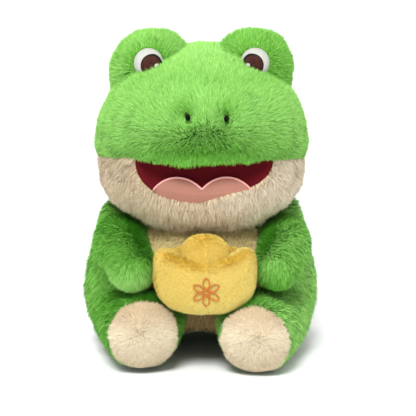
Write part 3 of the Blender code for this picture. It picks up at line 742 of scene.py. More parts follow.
def ingot_front(x, z):
    """The place along Y of the boat's front at a point of it."""
    wide = min(1, abs(x) / INGOT_HALF_WIDTH)
    half_rise = (INGOT_TIP_RISE - INGOT_KEEL_RISE) / 2
    middle = INGOT_HEIGHT + (INGOT_KEEL_RISE + half_rise) * wide ** 2
    tall = min(1, abs(z - middle) / (INGOT_HALF_HEIGHT + half_rise * wide ** 2))
    ring = math.sqrt(max(0, 1 - tall ** INGOT_FULLNESS))
    across = min(1, wide ** INGOT_FULLNESS / max(ring ** 2, 1e-9))
    return -INGOT_PLACE - INGOT_HALF_DEPTH * max(0, (ring ** 2) * (1 - across)) ** (
        1 / INGOT_FULLNESS)


def dome_form(swell=0.0, facets=MOUND_FACETS):
    """The dome that rises from the ingot, with the ingot's back rim beside it."""
    def place(point):
        return Vector((DOME_HALF_WIDTH * fuller(point.x, MOUND_FULLNESS),
                       -DOME_PLACE + DOME_HALF_DEPTH * point.y,
                       DOME_HEIGHT + DOME_HALF_HEIGHT * fuller(point.z, MOUND_FULLNESS)))

    def rim(point):
        shares = (fuller(point.x, BACK_RIM_FULLNESS), fuller(point.y, INGOT_FULLNESS),
                  fuller(point.z, INGOT_FULLNESS))
        return Vector([middle + half * share for middle, half, share
                       in zip(BACK_RIM_MIDDLE, BACK_RIM_HALF_SIZE, shares)])

    dome = shaped_ball(facets, place, swell)
    data = bpy.data.meshes.new("rim")
    back = shaped_ball(facets, rim, swell)
    back.to_mesh(data)
    back.free()
    dome.from_mesh(data)
    bpy.data.meshes.remove(data)
    dome.normal_update()
    return dome


def mouth_point(point):
    """A point of the mouth pocket from a point of a unit ball."""
    wide = fuller(point.x, MOUTH_FULLNESS)
    tall = fuller(point.z, MOUTH_FULLNESS)
    rise = MOUTH_ROOF if tall > 0 else MOUTH_DROP
    return Vector((MOUTH_HALF_WIDTH * wide,
                   -MOUTH_CENTRE + MOUTH_DEPTH * point.y + MOUTH_WRAP * wide ** 2,
                   MOUTH_CORNER_HEIGHT + rise * tall))


def mouth_share(points, grow=0.0):
    """How far points lie from the mouth's middle line to its outline, 1 on the outline."""
    wide = np.abs(points[:, 0]) / (MOUTH_HALF_WIDTH + grow)
    tall = points[:, 2] - MOUTH_CORNER_HEIGHT
    lip = LIP_RISE * np.clip((points[:, 0] - LIP_RISE_START) / LIP_RISE_WIDTH, 0.12, 1)
    reach = np.where(tall > 0, MOUTH_ROOF + grow, MOUTH_DROP + grow - lip)
    return (wide ** MOUTH_FULLNESS + np.abs(tall / reach) ** MOUTH_FULLNESS) ** (
        1 / MOUTH_FULLNESS)


# Pieces

def keep(name, mesh, material, body, slot, smooth=True):
    """Put a finished bmesh or mesh into the scene as a piece of one body."""
    if isinstance(mesh, bmesh.types.BMesh):
        data = bpy.data.meshes.new(name)
        mesh.to_mesh(data)
        mesh.free()
    else:
        data = mesh
        data.name = name
    data.transform(Matrix.Translation((0, FROG_SHIFT, 0)))
    if smooth:
        data.shade_smooth()
    data.materials.append(material)
    piece = bpy.data.objects.new(name, data)
    bpy.context.scene.collection.objects.link(piece)
    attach(piece, body)
    return piece


def tint(piece, colour_at):
    """Store a colour for each point of a piece, as colour_at gives it."""
    points = np.empty(len(piece.data.vertices) * 3, np.float32)
    piece.data.vertices.foreach_get("co", points)
    points = points.reshape(-1, 3) - (0, FROG_SHIFT, 0)
    colours = np.ones((len(points), 4), np.float32)
    colours[:, :3] = colour_at(points)
    layer = piece.data.color_attributes.new("tint", "FLOAT_COLOR", "POINT")
    layer.data.foreach_set("color", colours.ravel())


# Pile

class Ground:
    """The surface that strands grow from."""

    def __init__(self, mesh, covers=()):
        faces = bmesh.ops.triangulate(mesh, faces=mesh.faces[:])["faces"]
        mesh.verts.index_update()
        self.points = np.array([v.co for v in mesh.verts])
        self.normals = np.array([v.normal for v in mesh.verts])
        self.corners = np.array([[v.index for v in f.verts] for f in faces])
        a, b, c = (self.points[self.corners[:, i]] for i in range(3))
        self.areas = np.linalg.norm(np.cross(b - a, c - a), axis=1) / 2
        self.clear = np.full(len(self.points), 1.0)
        for cover, sunk in covers:
            tree = BVHTree.FromBMesh(cover)
            cover.free()
            for index, point in enumerate(self.points):
                spot, normal, _, gap = tree.find_nearest(Vector(point))
                inside = (Vector(point) - spot).dot(normal) < 0
                self.clear[index] = min(self.clear[index], sunk + (-gap if inside else gap))
        mesh.free()

    def roots(self, per_area, where, rng):
        """Scattered points with their normals: per_area of them where where holds."""
        chosen = rng.choice(len(self.areas), int(self.areas.sum() * per_area),
                            p=self.areas / self.areas.sum())
        u, v = rng.random((2, len(chosen)))
        flip = u + v > 1
        u[flip], v[flip] = 1 - u[flip], 1 - v[flip]
        weights = np.stack((1 - u - v, u, v), axis=1)
        corners = self.corners[chosen]
        points = (self.points[corners] * weights[:, :, None]).sum(1)
        normals = (self.normals[corners] * weights[:, :, None]).sum(1)
        normals /= np.linalg.norm(normals, axis=1)[:, None]
        clear = (self.clear[corners] * weights).sum(1)
        held = (clear > 0) & where(points)
        return points[held], normals[held]


def unit(vectors):
    """Vectors brought to length 1."""
    return vectors / np.maximum(np.linalg.norm(vectors, axis=1), 1e-9)[:, None]


def bell(distance, width):
    """1 at distance 0, falling smoothly to nothing beyond the width."""
    return np.exp(-(distance / width) ** 2)


def ramp(value, start, width):
    """0 up to the start, rising evenly to 1 over the width; a negative width counts down."""
    return np.clip((value - start) / width, 0, 1)


def wander(points, scale, rng):
    """A smooth random value between about -1 and 1 over space, from a few crossing waves."""
    total = np.zeros(len(points))
    for _ in range(6):
        way = rng.normal(size=3)
        way /= np.linalg.norm(way) * scale * rng.uniform(0.6, 1.6)
        total += np.sin(points @ way * 2 * math.pi + rng.uniform(0, 2 * math.pi))
    return total / 2.5


def strand_lines(roots, along, length, lean, steps, rng):
    """Middle lines of strands that rise from their roots and bend over; lean is per step."""
    root, normal = roots
    jitter = rng.normal(0, LEAN_JITTER, len(root))
    line = [root]
    for step in range(steps):
        angle = lean[step] + jitter
        way = normal * np.cos(angle)[:, None] + along * np.sin(angle)[:, None]
        line.append(line[-1] + way * (length / steps)[:, None])
    line = np.stack(line)
    line[:, :, 2] = np.maximum(line[:, :, 2], FLOOR_GAP)
    return line


def gather(line, root, clump, clump_size, rng):
    """Draw strands towards the nearest of a few chosen ones, the more the nearer their tips."""
    count = len(root)
    steps = len(line) - 1
    heads = rng.choice(count, max(1, count // clump_size), replace=False)
    tree = KDTree(len(heads))
    for index in heads:
        tree.insert(root[index], int(index))
    tree.balance()
    nearest = np.array([tree.find(point)[1] for point in root])
    pull = clump * rng.uniform(0.4, 1.2, count)
    for step in range(1, steps + 1):
        share = (pull * (step / steps) ** 1.5)[:, None]
        line[step] += (line[step][nearest] - line[step]) * share * CLUMP_STRENGTH


def ribbons(line, side, normal, width, rng):
    """Corners of one tapered ribbon round each line, and the normals that shade them."""
    count = len(normal)
    steps = len(line) - 1
    middle = unit(line[-1] - line[0])
    roll = rng.uniform(-1.0, 1.0, count)[:, None]
    across = side * np.cos(roll) + np.cross(middle, side) * np.sin(roll)
    across *= np.sign((np.cross(across, middle) * normal).sum(1))[:, None]
    across[:, 2] *= ramp(line[0][:, 2], *RIBBON_UP)
    half = (width / 2 * rng.uniform(0.7, 1.3, count))[:, None]
    shading = unit(normal + 0.45 * np.cross(across, middle) + rng.normal(0, 0.12, (count, 3)))
    points = np.empty((count, 2 * steps + 1, 3), np.float32)
    for step in range(steps):
        slim = half * (1 - STRAND_TAPER * step / steps)
        points[:, 2 * step] = line[step] - across * slim
        points[:, 2 * step + 1] = line[step] + across * slim
    points[:, -1] = line[-1]
    return points, shading


def ribbon_mesh(name, points, shading, tones):
    """One mesh of all ribbons, its map giving each one's tone and the height along it."""
    count, per, _ = points.shape
    steps = per // 2
    quads = [[2 * s, 2 * s + 1, 2 * s + 3, 2 * s + 2] for s in range(steps - 1)]
    pattern = np.array(sum(quads, []) + [per - 3, per - 2, per - 1])
    loops = (pattern[None, :] + np.arange(count)[:, None] * per).ravel()
    sizes = np.array([4] * (steps - 1) + [3])
    starts = (np.concatenate(([0], np.cumsum(sizes)[:-1]))[None, :]
              + np.arange(count)[:, None] * len(pattern)).ravel()
    data = bpy.data.meshes.new(name)
    data.vertices.add(count * per)
    data.vertices.foreach_set("co", points.ravel())
    data.loops.add(len(loops))
    data.loops.foreach_set("vertex_index", loops.astype(np.int32))
    data.polygons.add(len(starts))
    data.polygons.foreach_set("loop_start", starts.astype(np.int32))
    map_u = np.where(pattern % 2 == 0, 0.0, MAP_WIDTH)[None, :] + tones[:, None]
    map_v = np.broadcast_to(np.minimum(pattern // 2, steps) / steps, map_u.shape)
    layer = data.uv_layers.new(name=MAP)
    layer.uv.foreach_set("vector", np.stack((map_u, map_v), axis=2).astype(np.float32).ravel())
    data.update()
    data.shade_smooth()
    data.normals_split_custom_set_from_vertices(np.repeat(shading, per, axis=0))
    return data


def grow(name, roots, flow, length, width, rng, lean=(25, 75), spread=0.35, clump=0.35,
         clump_size=14, tone=0.5, tone_spread=0.2, steps=2, drift=0.35):
    """Strands that lean along flow by lean degrees at root and tip, clumped at their tips."""
    root, normal = roots
    count = len(root)
    flow = flow - (flow * normal).sum(1)[:, None] * normal
    strength = np.minimum(np.linalg.norm(flow, axis=1), 1)
    along = unit(flow + rng.normal(0, 0.05, flow.shape))
    side = np.cross(normal, along)
    turn = (rng.normal(0, spread, count) + drift * wander(root, TURN_PATCH, rng))[:, None]
    along, side = (along * np.cos(turn) + side * np.sin(turn),
                   side * np.cos(turn) - along * np.sin(turn))
    length = (length * rng.uniform(0.7, 1.12, count)
              * (1 + 0.12 * wander(root, LENGTH_PATCH, rng)))
    angles = [(lean[0] + (lean[1] - lean[0]) * ((step + 0.5) / steps)) * strength * DEGREE
              for step in range(steps)]
    line = strand_lines(roots, along, length, angles, steps, rng)
    if np.any(clump):
        gather(line, root, clump, clump_size, rng)
    points, shading = ribbons(line, side, normal, width, rng)
    tones = np.clip(tone + rng.normal(0, tone_spread, count), 0.02, 0.94)
    return ribbon_mesh(name, points, shading, tones)


def down(points):
    """Straight down at every point."""
    return np.broadcast_to((0.0, 0.0, -1.0), points.shape)


# Materials

def group(name, inputs, outputs):
    """A shader node group with its sockets, and its input and output nodes."""
    tree = bpy.data.node_groups.new(name, "ShaderNodeTree")
    for socket, kind, value in inputs:
        made = tree.interface.new_socket(name=socket, in_out="INPUT", socket_type=kind)
        made.default_value = value
    for socket, kind in outputs:
        tree.interface.new_socket(name=socket, in_out="OUTPUT", socket_type=kind)
    return tree, tree.nodes.new("NodeGroupInput"), tree.nodes.new("NodeGroupOutput")


def node(tree, kind, **values):
    """A node with its own properties and socket values set."""
    made = tree.nodes.new(kind)
    for key, value in values.items():
        if isinstance(value, bpy.types.NodeSocket):
            tree.links.new(value, made.inputs[key.replace("_", " ")])
        elif hasattr(made, key):
            setattr(made, key, value)
        else:
            made.inputs[key.replace("_", " ")].default_value = value
    return made


def math_node(tree, operation, *values):
    """The value that one Math node gives."""
    made = tree.nodes.new("ShaderNodeMath")
    made.operation = operation
    for index, value in enumerate(values):
        if isinstance(value, bpy.types.NodeSocket):
            tree.links.new(value, made.inputs[index])
        else:
            made.inputs[index].default_value = value
    return made.outputs[0]


def mix_colours(tree, share, first, second, blend="MIX"):
    """The colour that one Mix node gives."""
    made = tree.nodes.new("ShaderNodeMix")
    made.data_type = "RGBA"
    made.blend_type = blend
    for socket, value in ((made.inputs[0], share), (made.inputs[6], first),
                          (made.inputs[7], second)):
        if isinstance(value, bpy.types.NodeSocket):
            tree.links.new(value, socket)
        else:
            socket.default_value = value
    return made.outputs[2]


def grain(tree, scale, **values):
    """Noise in a piece's own space."""
    place = tree.nodes.new("ShaderNodeTexCoord")
    return node(tree, "ShaderNodeTexNoise", Vector=place.outputs["Object"], Scale=scale,
                **values).outputs["Fac"]


def emboss(tree, shader, height, strength, depth):
    """Raise a shader's surface by a height."""
    bump = node(tree, "ShaderNodeBump", Strength=strength, Distance=depth, Height=height)
    tree.links.new(bump.outputs["Normal"], shader.inputs["Normal"])


def pile_group():
    """Colour of a strand: root colour low down (for green, painted depth shade), then deep to pale
    by its tone.
    """
    found = bpy.data.node_groups.get("strand colour")
    if found:
        return found
    grey = (0.5, 0.5, 0.5, 1)
    tree, given, out = group("strand colour", (
        ("Root", "NodeSocketColor", grey), ("Deep", "NodeSocketColor", grey),
        ("Pale", "NodeSocketColor", grey)), (("Color", "NodeSocketColor"),))
    place = tree.nodes.new("ShaderNodeUVMap")
    place.uv_map = MAP
    parts = node(tree, "ShaderNodeSeparateXYZ", Vector=place.outputs["UV"])
    body = mix_colours(tree, parts.outputs["X"], given.outputs["Deep"], given.outputs["Pale"])
    rise = math_node(tree, "MULTIPLY_ADD", parts.outputs["Y"], 1.5, 0.12)
    rise = math_node(tree, "MINIMUM", rise, 1.0)
    tree.links.new(mix_colours(tree, rise, given.outputs["Root"], body), out.inputs["Color"])
    return tree


def principled(name, roughness, sheen=0.0, sheen_roughness=0.5, coat=0.0, specular=0.5):
    """A material with only its shader's own constants set."""
    material = bpy.data.materials.new(name)
    material.use_nodes = True
    shader = material.node_tree.nodes["Principled BSDF"]
    shader.inputs["Roughness"].default_value = roughness
    shader.inputs["Sheen Weight"].default_value = sheen
    shader.inputs["Sheen Roughness"].default_value = sheen_roughness
    shader.inputs["Coat Weight"].default_value = coat
    shader.inputs["Specular IOR Level"].default_value = specular
    return material, material.node_tree, shader


def opaque(colour):
    """A colour with full alpha."""
    return (*colour, 1)


def pile_material(name, root, deep, pale):
    """Pile whose strands turn to their root colour low down: for green, painted shade in the
    pile's depth.
    """
    found = bpy.data.materials.get(name)
    if found:
        return found
    material, tree, shader = principled(name, 0.62, sheen=0.15, specular=0.12)
    shader.inputs["Sheen Tint"].default_value = opaque(pale)
    colour = tree.nodes.new("ShaderNodeGroup")
    colour.node_tree = pile_group()
    colour.inputs["Root"].default_value = opaque(root)
    colour.inputs["Deep"].default_value = opaque(deep)
    colour.inputs["Pale"].default_value = opaque(pale)
    tree.links.new(colour.outputs["Color"], shader.inputs["Base Color"])
    return material


def backing_material():
    """The knitted cloth that the pile stands on, in the colour stored on each piece."""
    found = bpy.data.materials.get("backing cloth")
    if found:
        return found
    material, tree, shader = principled("backing cloth", 0.95, specular=0.1)
    stored = tree.nodes.new("ShaderNodeAttribute")
    stored.attribute_name = "tint"
    share = math_node(tree, "MULTIPLY", grain(tree, 900.0), 0.4)
    colour = mix_colours(tree, share, stored.outputs["Color"], (0, 0, 0, 1))
    tree.links.new(colour, shader.inputs["Base Color"])
    return material


def thread_group():
    """Satin stitch: fine threads side by side along the second axis of a vector."""
    found = bpy.data.node_groups.get("satin stitch")
    if found:
        return found
    tree, given, out = group("satin stitch", (
        ("Vector", "NodeSocketVector", (0, 0, 0)), ("Threads", "NodeSocketFloat", 20.0)),
        (("Shade", "NodeSocketFloat"), ("Height", "NodeSocketFloat")))
    parts = node(tree, "ShaderNodeSeparateXYZ", Vector=given.outputs["Vector"])
    slow = node(tree, "ShaderNodeTexNoise", Vector=given.outputs["Vector"], Scale=6.0)
    drift = math_node(tree, "MULTIPLY_ADD", slow.outputs["Fac"], 0.10, parts.outputs["X"])
    phase = math_node(tree, "MULTIPLY", drift, given.outputs["Threads"])
    place = math_node(tree, "PINGPONG", phase, 0.5)
    height = math_node(tree, "SINE", math_node(tree, "MULTIPLY", place, math.pi))
    number = math_node(tree, "FLOOR", phase)
    own = node(tree, "ShaderNodeTexWhiteNoise", noise_dimensions="1D", W=number)
    shade = math_node(tree, "MULTIPLY_ADD", own.outputs["Value"], 0.35, 0.3)
    # Darker towards each thread's sides: painted shade between the threads, on top of a random
    # tone per thread
    shade = math_node(tree, "MULTIPLY_ADD", height, 0.35, shade)
    tree.links.new(shade, out.inputs["Shade"])
    tree.links.new(height, out.inputs["Height"])
    return tree


def thread_material(name, colour, threads, dark_share=0.45, ring=None, gloss=0.4):
    """Satin-stitched thread along a piece's own map, with an optional darker rim."""
    material, tree, shader = principled(name, 0.45, specular=gloss)
    place = tree.nodes.new("ShaderNodeUVMap")
    place.uv_map = MAP
    stitch = tree.nodes.new("ShaderNodeGroup")
    stitch.node_tree = thread_group()
    stitch.inputs["Threads"].default_value = threads
    tree.links.new(place.outputs["UV"], stitch.inputs["Vector"])
    dark = opaque([part * dark_share for part in colour])
    shown = mix_colours(tree, stitch.outputs["Shade"], dark, opaque(colour))
    if ring:
        middle = node(tree, "ShaderNodeVectorMath", operation="SUBTRACT")
        tree.links.new(place.outputs["UV"], middle.inputs[0])
        middle.inputs[1].default_value = (0.5, 0.5, 0)
        reach = node(tree, "ShaderNodeVectorMath", operation="LENGTH")
        tree.links.new(middle.outputs[0], reach.inputs[0])
        rim = node(tree, "ShaderNodeMapRange", Value=reach.outputs["Value"])
        rim.inputs["From Min"].default_value = 0.38
        rim.inputs["From Max"].default_value = 0.43
        shown = mix_colours(tree, rim.outputs["Result"], shown, opaque(ring))
    tree.links.new(shown, shader.inputs["Base Color"])
    emboss(tree, shader, stitch.outputs["Height"], 0.5, 0.2 * MM)
    return material


def felt_material(name, colour, scale=700.0, depth=0.25, sheen=0.3):
    """Felt or lining cloth with a fibrous grain."""
    material, tree, shader = principled(name, 0.9, sheen=sheen, specular=0.1)
    fine = grain(tree, scale, Detail=3.0)
    share = math_node(tree, "MULTIPLY_ADD", fine, 0.6,
                      math_node(tree, "MULTIPLY", grain(tree, 45.0), 0.5))
    dark = opaque([part * (1 - depth) for part in colour])
    pale = opaque([min(1, part * (1 + depth)) for part in colour])
    tree.links.new(mix_colours(tree, share, dark, pale), shader.inputs["Base Color"])
    emboss(tree, shader, fine, 0.6, 0.3 * MM)
    return material


# Operators

class FrogOperator:
    """What every piece's operator shares."""

    bl_options = {"REGISTER"}

    def prepare(self, context, seed):
        """Read the settings and start a scatter of its own."""
        self.pile = context.scene.frog_pile
        self.colours = context.scene.frog_colours
        self.rng = np.random.default_rng(self.pile.seed * 100 + seed)
        self.depth = -self.pile.backing_depth

    def scatter(self, ground, strands, where):
        """Roots on a ground, with so many strands to a square millimetre, where where holds."""
        return ground.roots(strands * (self.pile.density / MM ** 2), where, self.rng)

    def pad(self, name, mesh, body, cloth, colour_at, *nodes, fill=0.7):
        """A stuffed form under its pile."""
        piece = keep(name, mesh, backing_material(), body, CLOTHS[cloth][1])
        tint(piece, colour_at)
        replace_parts(piece, *nodes)

    def plain(self, colour):
        """One colour at every point."""
        return lambda points: np.broadcast_to(tuple(colour), points.shape)

    def coat(self, name, roots, cloth, body, flow, length, *nodes, **style):
        """Pile of one cloth over a pad."""
        material, slot = CLOTHS[cloth]
        colours = [getattr(self.colours, cloth + part) for part in ("_root", "_deep", "_pale")]
        width = style.pop("width", self.pile.strand_width)
        data = grow(name, roots, flow, length, width, self.rng, **style)
        piece = keep(name, data, pile_material(material, *colours), body, slot, smooth=False)
        if nodes:
            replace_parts(piece, *nodes)


def seam_side(points):
    """Height of points over the seam between the green face and the cream jaw."""
    return ((points[:, 2] - JAW_SEAM_HEIGHT) * math.cos(JAW_SEAM_RISE)
            + points[:, 1] * math.sin(JAW_SEAM_RISE))


def head_flow(points):
    """Pile of the head runs away from the parting, and more and more downwards."""
    away = points - PARTING
    strength = ramp(np.linalg.norm(away, axis=1), 0, PARTING_RADIUS)[:, None]
    fall = ramp(points[:, 2], *HEAD_FALL)[:, None]
    return unit(away) * strength * (1.1 - fall) + down(points) * fall * 0.9


def green_edge(points):
    """How far the green pile ends over the seam: further at the frog's right cheek."""
    return GREEN_OVERLAP - GREEN_OVERLAP_TILT * points[:, 0] / HEAD_HALF_WIDTH


def nostril_gap(points):
    """How far points lie from the nearer nostril, seen from the front."""
    return np.min([np.hypot(points[:, 0] - spot.x, points[:, 2] - spot.z)
                   for spot in (bead_place(1), bead_place(-1))], axis=0)


class FROG_OT_head(FrogOperator, Operator):
    """Head: its pad, the green face, the green back and the cream jaw"""

    bl_idname = "frog.head"
    bl_label = "Head"

    def execute(self, context):
        """Build the head."""
        self.prepare(context, 1)
        colours = self.colours

        def colour_at(points):
            green = seam_side(points)[:, None] > 0
            return np.where(green, tuple(colours.green_root), tuple(colours.cream_root))

        skin = head_form(self.depth)
        for vertex in skin.verts:
            share = mouth_share(np.array([vertex.co]), -SKIN_OVERLAP)[0]
            if share < 1 and vertex.co.y < FACE_FRONT:
                wide = vertex.co.x / MOUTH_HALF_WIDTH
                wall = -MOUTH_CENTRE + MOUTH_DEPTH + POCKET_GAP + MOUTH_WRAP * wide ** 2
                vertex.co.y = max(vertex.co.y, wall)
        self.pad("head_pad", skin, "trunk", "green", colour_at, "head_stuffing")
        covers = [(torso_form(self.depth, COVER_FACETS), SEAM_SINK)]
        for _, way in SIDES:
            covers.append((mound_form(way, self.depth, SMALL_COVER_FACETS), SEAM_SINK))
        ground = Ground(head_form(self.depth), covers)
        self.face(ground)
        self.back(ground)
        self.jaw(ground)
        self.fringe(ground)
        return {"FINISHED"}

    def face(self, ground):
        """Green pile from the mouth over the crown, short round the nostrils."""
        def where(points):
            return ((seam_side(points) > green_edge(points)) & (points[:, 1] < BACK_SEAM_PLACE)
                    & (mouth_share(points, -FACE_MOUTH_OVERLAP) > 1)
                    & (nostril_gap(points) > NOSTRIL_CLEARANCE))

        roots = self.scatter(ground, FACE_STRANDS, where)
        left = roots[0][:, 0] > 0
        for side, pick in (("left", left), ("right", ~left)):
            points, normals = roots[0][pick], roots[1][pick]
            high = points[:, 2]
            length = self.pile.face_length * (1 - 0.25 * ramp(high, *CROWN_SHORTER))
            length = length * (0.5 + 0.5 * ramp(seam_side(points), *SEAM_LONGER))
            length = length * (1 - 0.5 * bell(nostril_gap(points), NOSTRIL_SHADE))
            cheek = ramp(np.abs(points[:, 0]), *CHEEK_OUT)
            length = length * (1 - 0.3 * cheek * ramp(high, *CHEEK_UP))
            # Painted shade: darker pile on the muzzle's underside; by height, painted light makes
            # the crown paler
            muzzle = (bell(points[:, 0], MUZZLE_HALF_WIDTH)
                      * bell(high - MUZZLE_HEIGHT, MUZZLE_HALF_HEIGHT))
            muzzle = muzzle * ramp(points[:, 1], *MUZZLE_FORWARD)
            tone = np.interp(high, FACE_TONE_HEIGHTS, FACE_TONES) - 0.55 * muzzle
            # Painted shade of the dimples: darker pile just over each nostril
            below = points - (0, 0, NOSTRIL_SHADE_RISE)
            tone = tone - 0.3 * bell(nostril_gap(below), NOSTRIL_SHADE)
            centre = bell(np.linalg.norm(points - STRAY_MIDDLE, axis=1), STRAY_RADIUS)
            stray = unit(self.rng.normal(size=points.shape)) * centre[:, None] * 0.75
            nodes = ["face_upper_panel"] if side == "left" else []
            self.coat(side + "_face_pile", (points, normals), "green", "trunk",
                      head_flow(points) + stray, length, *nodes, tone=tone, lean=(22, 66),
                      clump=0.4 - 0.34 * ramp(high, *CROWN_SMOOTHER), width=FINE_STRAND)

    def back(self, ground):
        """Green pile behind the side seam."""
        def where(points):
            return points[:, 1] >= BACK_SEAM_PLACE

        points, normals = self.scatter(ground, HEAD_BACK_STRANDS, where)
        self.coat("head_back_pile", (points, normals), "green", "trunk", head_flow(points),
                  self.pile.face_length, "head_back_panel",
                  width=1.3 * self.pile.strand_width, tone=0.45)

    def jaw(self, ground):
        """Cream pile below the mouth, longest on the chin."""
        def where(points):
            upper_lip = ((points[:, 2] > MOUTH_CORNER_HEIGHT - UPPER_LIP_DROP)
                         & (np.abs(points[:, 0]) < MOUTH_HALF_WIDTH - UPPER_LIP_INSET)
                         & (points[:, 1] < LIP_FRONT))
            return ((seam_side(points) <= green_edge(points))
                    & (points[:, 1] < BACK_SEAM_PLACE) & ~upper_lip
                    & (mouth_share(points, -JAW_MOUTH_OVERLAP) > 1))

        points, normals = self.scatter(ground, JAW_STRANDS, where)
        lip = ramp(mouth_share(points), 1, 0.16)
        chin = (ramp(points[:, 2], *CHIN_DOWN)
                * np.clip((np.abs(points[:, 0]) - CHIN_IN[0]) / CHIN_IN[1], -0.1, 1))
        length = self.pile.face_length * (0.45 + 0.4 * lip + 0.4 * chin)
        flow = down(points) + 0.5 * unit(points - JAW_PARTING)
        # The jaw pile is paler on the frog's left than on its right: painted light
        self.coat("jaw_pile", (points, normals), "cream", "trunk", flow, length, "jaw_panel",
                  lean=(26, 64), clump=0.22, spread=0.28, width=FINE_STRAND,
                  tone=0.22 + 0.2 * np.clip(points[:, 0] / JAW_TONE_REACH, -1, 1))

    def fringe(self, ground):
        """Strands that hang over the edge of the mouth."""
        def where(points):
            rise = seam_side(points) - FRINGE_ARCH * (points[:, 0] / FRINGE_HALF_WIDTH) ** 2
            return ((rise > -FRINGE_OVERLAP) & (rise < FRINGE_DEPTH)
                    & (points[:, 1] < LIP_FRONT)
                    & (np.abs(points[:, 0]) < FRINGE_HALF_WIDTH)
                    & (mouth_share(points) > 0.97) & (points[:, 2] > MOUTH_CORNER_HEIGHT))

        points, normals = self.scatter(ground, FRINGE_STRANDS, where)
        middle = 1 - (points[:, 0] / FRINGE_HALF_WIDTH) ** 2
        # Deep tone, deepest in the middle: painted shade under the overhanging muzzle
        self.coat("fringe_pile", (points, normals), "green", "trunk", down(points),
                  self.pile.fringe_length * (0.36 + 0.28 * middle), lean=(45, 84),
                  spread=0.3, clump=0.4, clump_size=12, tone=0.24 - 0.16 * middle, steps=3,
                  width=FINE_STRAND)


class FROG_OT_mounds(FrogOperator, Operator):
    """Eye mounds: each dome's pad and its green pile, pressed short round the eye and painted
    darker there as shade
    """

    bl_idname = "frog.mounds"
    bl_label = "Eye mounds"

    def execute(self, context):
        """Build both mounds."""
        self.prepare(context, 2)
        for side, way in SIDES:
            self.pad(side + "_mound_pad", mound_form(way, self.depth + MOUND_SWELL), "trunk",
                     "green", self.plain(self.colours.green_root), side + "_mound_stuffing")
            ground = Ground(mound_form(way, self.depth + MOUND_SWELL),
                            [(head_form(self.depth, COVER_FACETS), SEAM_SINK)])
            eye = np.array((way * EYE_SPACING / 2,
                            mound_front(way, way * EYE_SPACING / 2, EYE_HEIGHT), EYE_HEIGHT))

            def where(points):
                return (np.linalg.norm((points - eye)[:, (0, 2)], axis=1)
                        > EYE_WHITE_RADIUS - EYE_OVERLAP) | (points[:, 1] > MOUND_PLACE)

            points, normals = self.scatter(ground, MOUND_STRANDS, where)
            away = np.linalg.norm(points - eye, axis=1)
            press_and_shade = ramp(away, *EYE_PRESS_AND_SHADE) ** 1.3
            length = self.pile.face_length * (0.2 + 0.66 * press_and_shade)
            length = length * (1 - 0.35 * ramp(points[:, 2], *MOUND_DOWN))
            # Tone: deepest round the eye, painted shade; the right mound paler than the left,
            # painted light
            self.coat(side + "_mound_pile", (points, normals), "green", "trunk",
                      unit(points - eye) + (0, 0.35, 0.0), length, side + "_eye_mound",
                      tone=0.03 + (0.34 - 0.18 * (way > 0)) * press_and_shade, lean=(18, 64))
        return {"FINISHED"}


class FROG_OT_eyes(FrogOperator, Operator):
    """Eyes: embroidered whites, irises and glints"""

    bl_idname = "frog.eyes"
    bl_label = "Eyes"

    def patch(self, name, way, centre, radius, form, material, slot):
        """A stitched disc that follows the front of the mound."""
        lift, thickness, curl = form

        def place(point):
            ring = math.hypot(point.x, point.z) or 1
            reach = radius * fuller(ring, DISC_FULLNESS) / ring
            x = centre[0] + reach * point.x
            z = centre[1] + reach * point.z
            y = (mound_front(way, x, z) - lift + thickness * fuller(point.y, DISC_EDGE_FULLNESS)
                 + curl * ring ** 4)
            return Vector((x, y, z))

        mesh = shaped_ball(EYE_FACETS, lambda p: place(Vector((p.x, -p.z, p.y))))
        layer = mesh.loops.layers.uv.new(MAP)
        for face in mesh.faces:
            for loop in face.loops:
                loop[layer].uv = ((loop.vert.co.x - centre[0]) / (2 * radius) + 0.5,
                                  (loop.vert.co.z - centre[1]) / (2 * radius) + 0.5)
        piece = keep(name + "_stitch", mesh, material, "trunk", slot)
        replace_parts(piece, name)

    def execute(self, context):
        """Build both eyes."""
        self.prepare(context, 3)
        c = self.colours
        white = thread_material("white thread", c.white, 34, 0.72)
        iris = thread_material("iris thread", c.iris, 22, 0.12, ring=c.outline, gloss=0.08)
        glint = thread_material("glint thread", c.white, 6, 0.85)
        for side, way in SIDES:
            middle = (way * EYE_SPACING / 2, EYE_HEIGHT)
            self.patch(side + "_eye_white", way, middle, EYE_WHITE_RADIUS, WHITE_FORM, white,
                       "white_thread")
            middle = (way * (EYE_SPACING / 2 - IRIS_INSET), EYE_HEIGHT - IRIS_DROP)
            self.patch(side + "_iris", way, middle, IRIS_RADIUS, IRIS_FORM, iris,
                       "brown_thread")
            middle = (middle[0] - way * GLINT_INSET, middle[1] - GLINT_DROP)
            self.patch(side + "_eye_glint", way, middle, GLINT_RADIUS, GLINT_FORM, glint,
                       "white_thread")
        return {"FINISHED"}


class FROG_OT_nostrils(FrogOperator, Operator):
    """Nostrils: two glossy beads in dimples of the muzzle"""

    bl_idname = "frog.nostrils"
    bl_label = "Nostrils"

    def execute(self, context):
        """Build both beads."""
        self.prepare(context, 4)
        material, tree, shader = principled("black bead", 0.2, specular=0.05)
        black = self.colours.bead
        shown = mix_colours(tree, grain(tree, 900.0), opaque(black),
                            opaque([part * 2 for part in black]))
        tree.links.new(shown, shader.inputs["Base Color"])
        for side, way in SIDES:
            spot = bead_place(way)

            def place(point):
                return Vector((spot.x + BEAD_HALF_SIZE[0] * point.x,
                               spot.y - BEAD_PROUDNESS + BEAD_HALF_SIZE[1] * point.y,
                               spot.z + BEAD_HALF_SIZE[2] * point.z))

            piece = keep(side + "_nostril_bead", shaped_ball(BEAD_FACETS, place), material,
                         "trunk", "black_bead")
            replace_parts(piece, side + "_nostril")
        return {"FINISHED"}


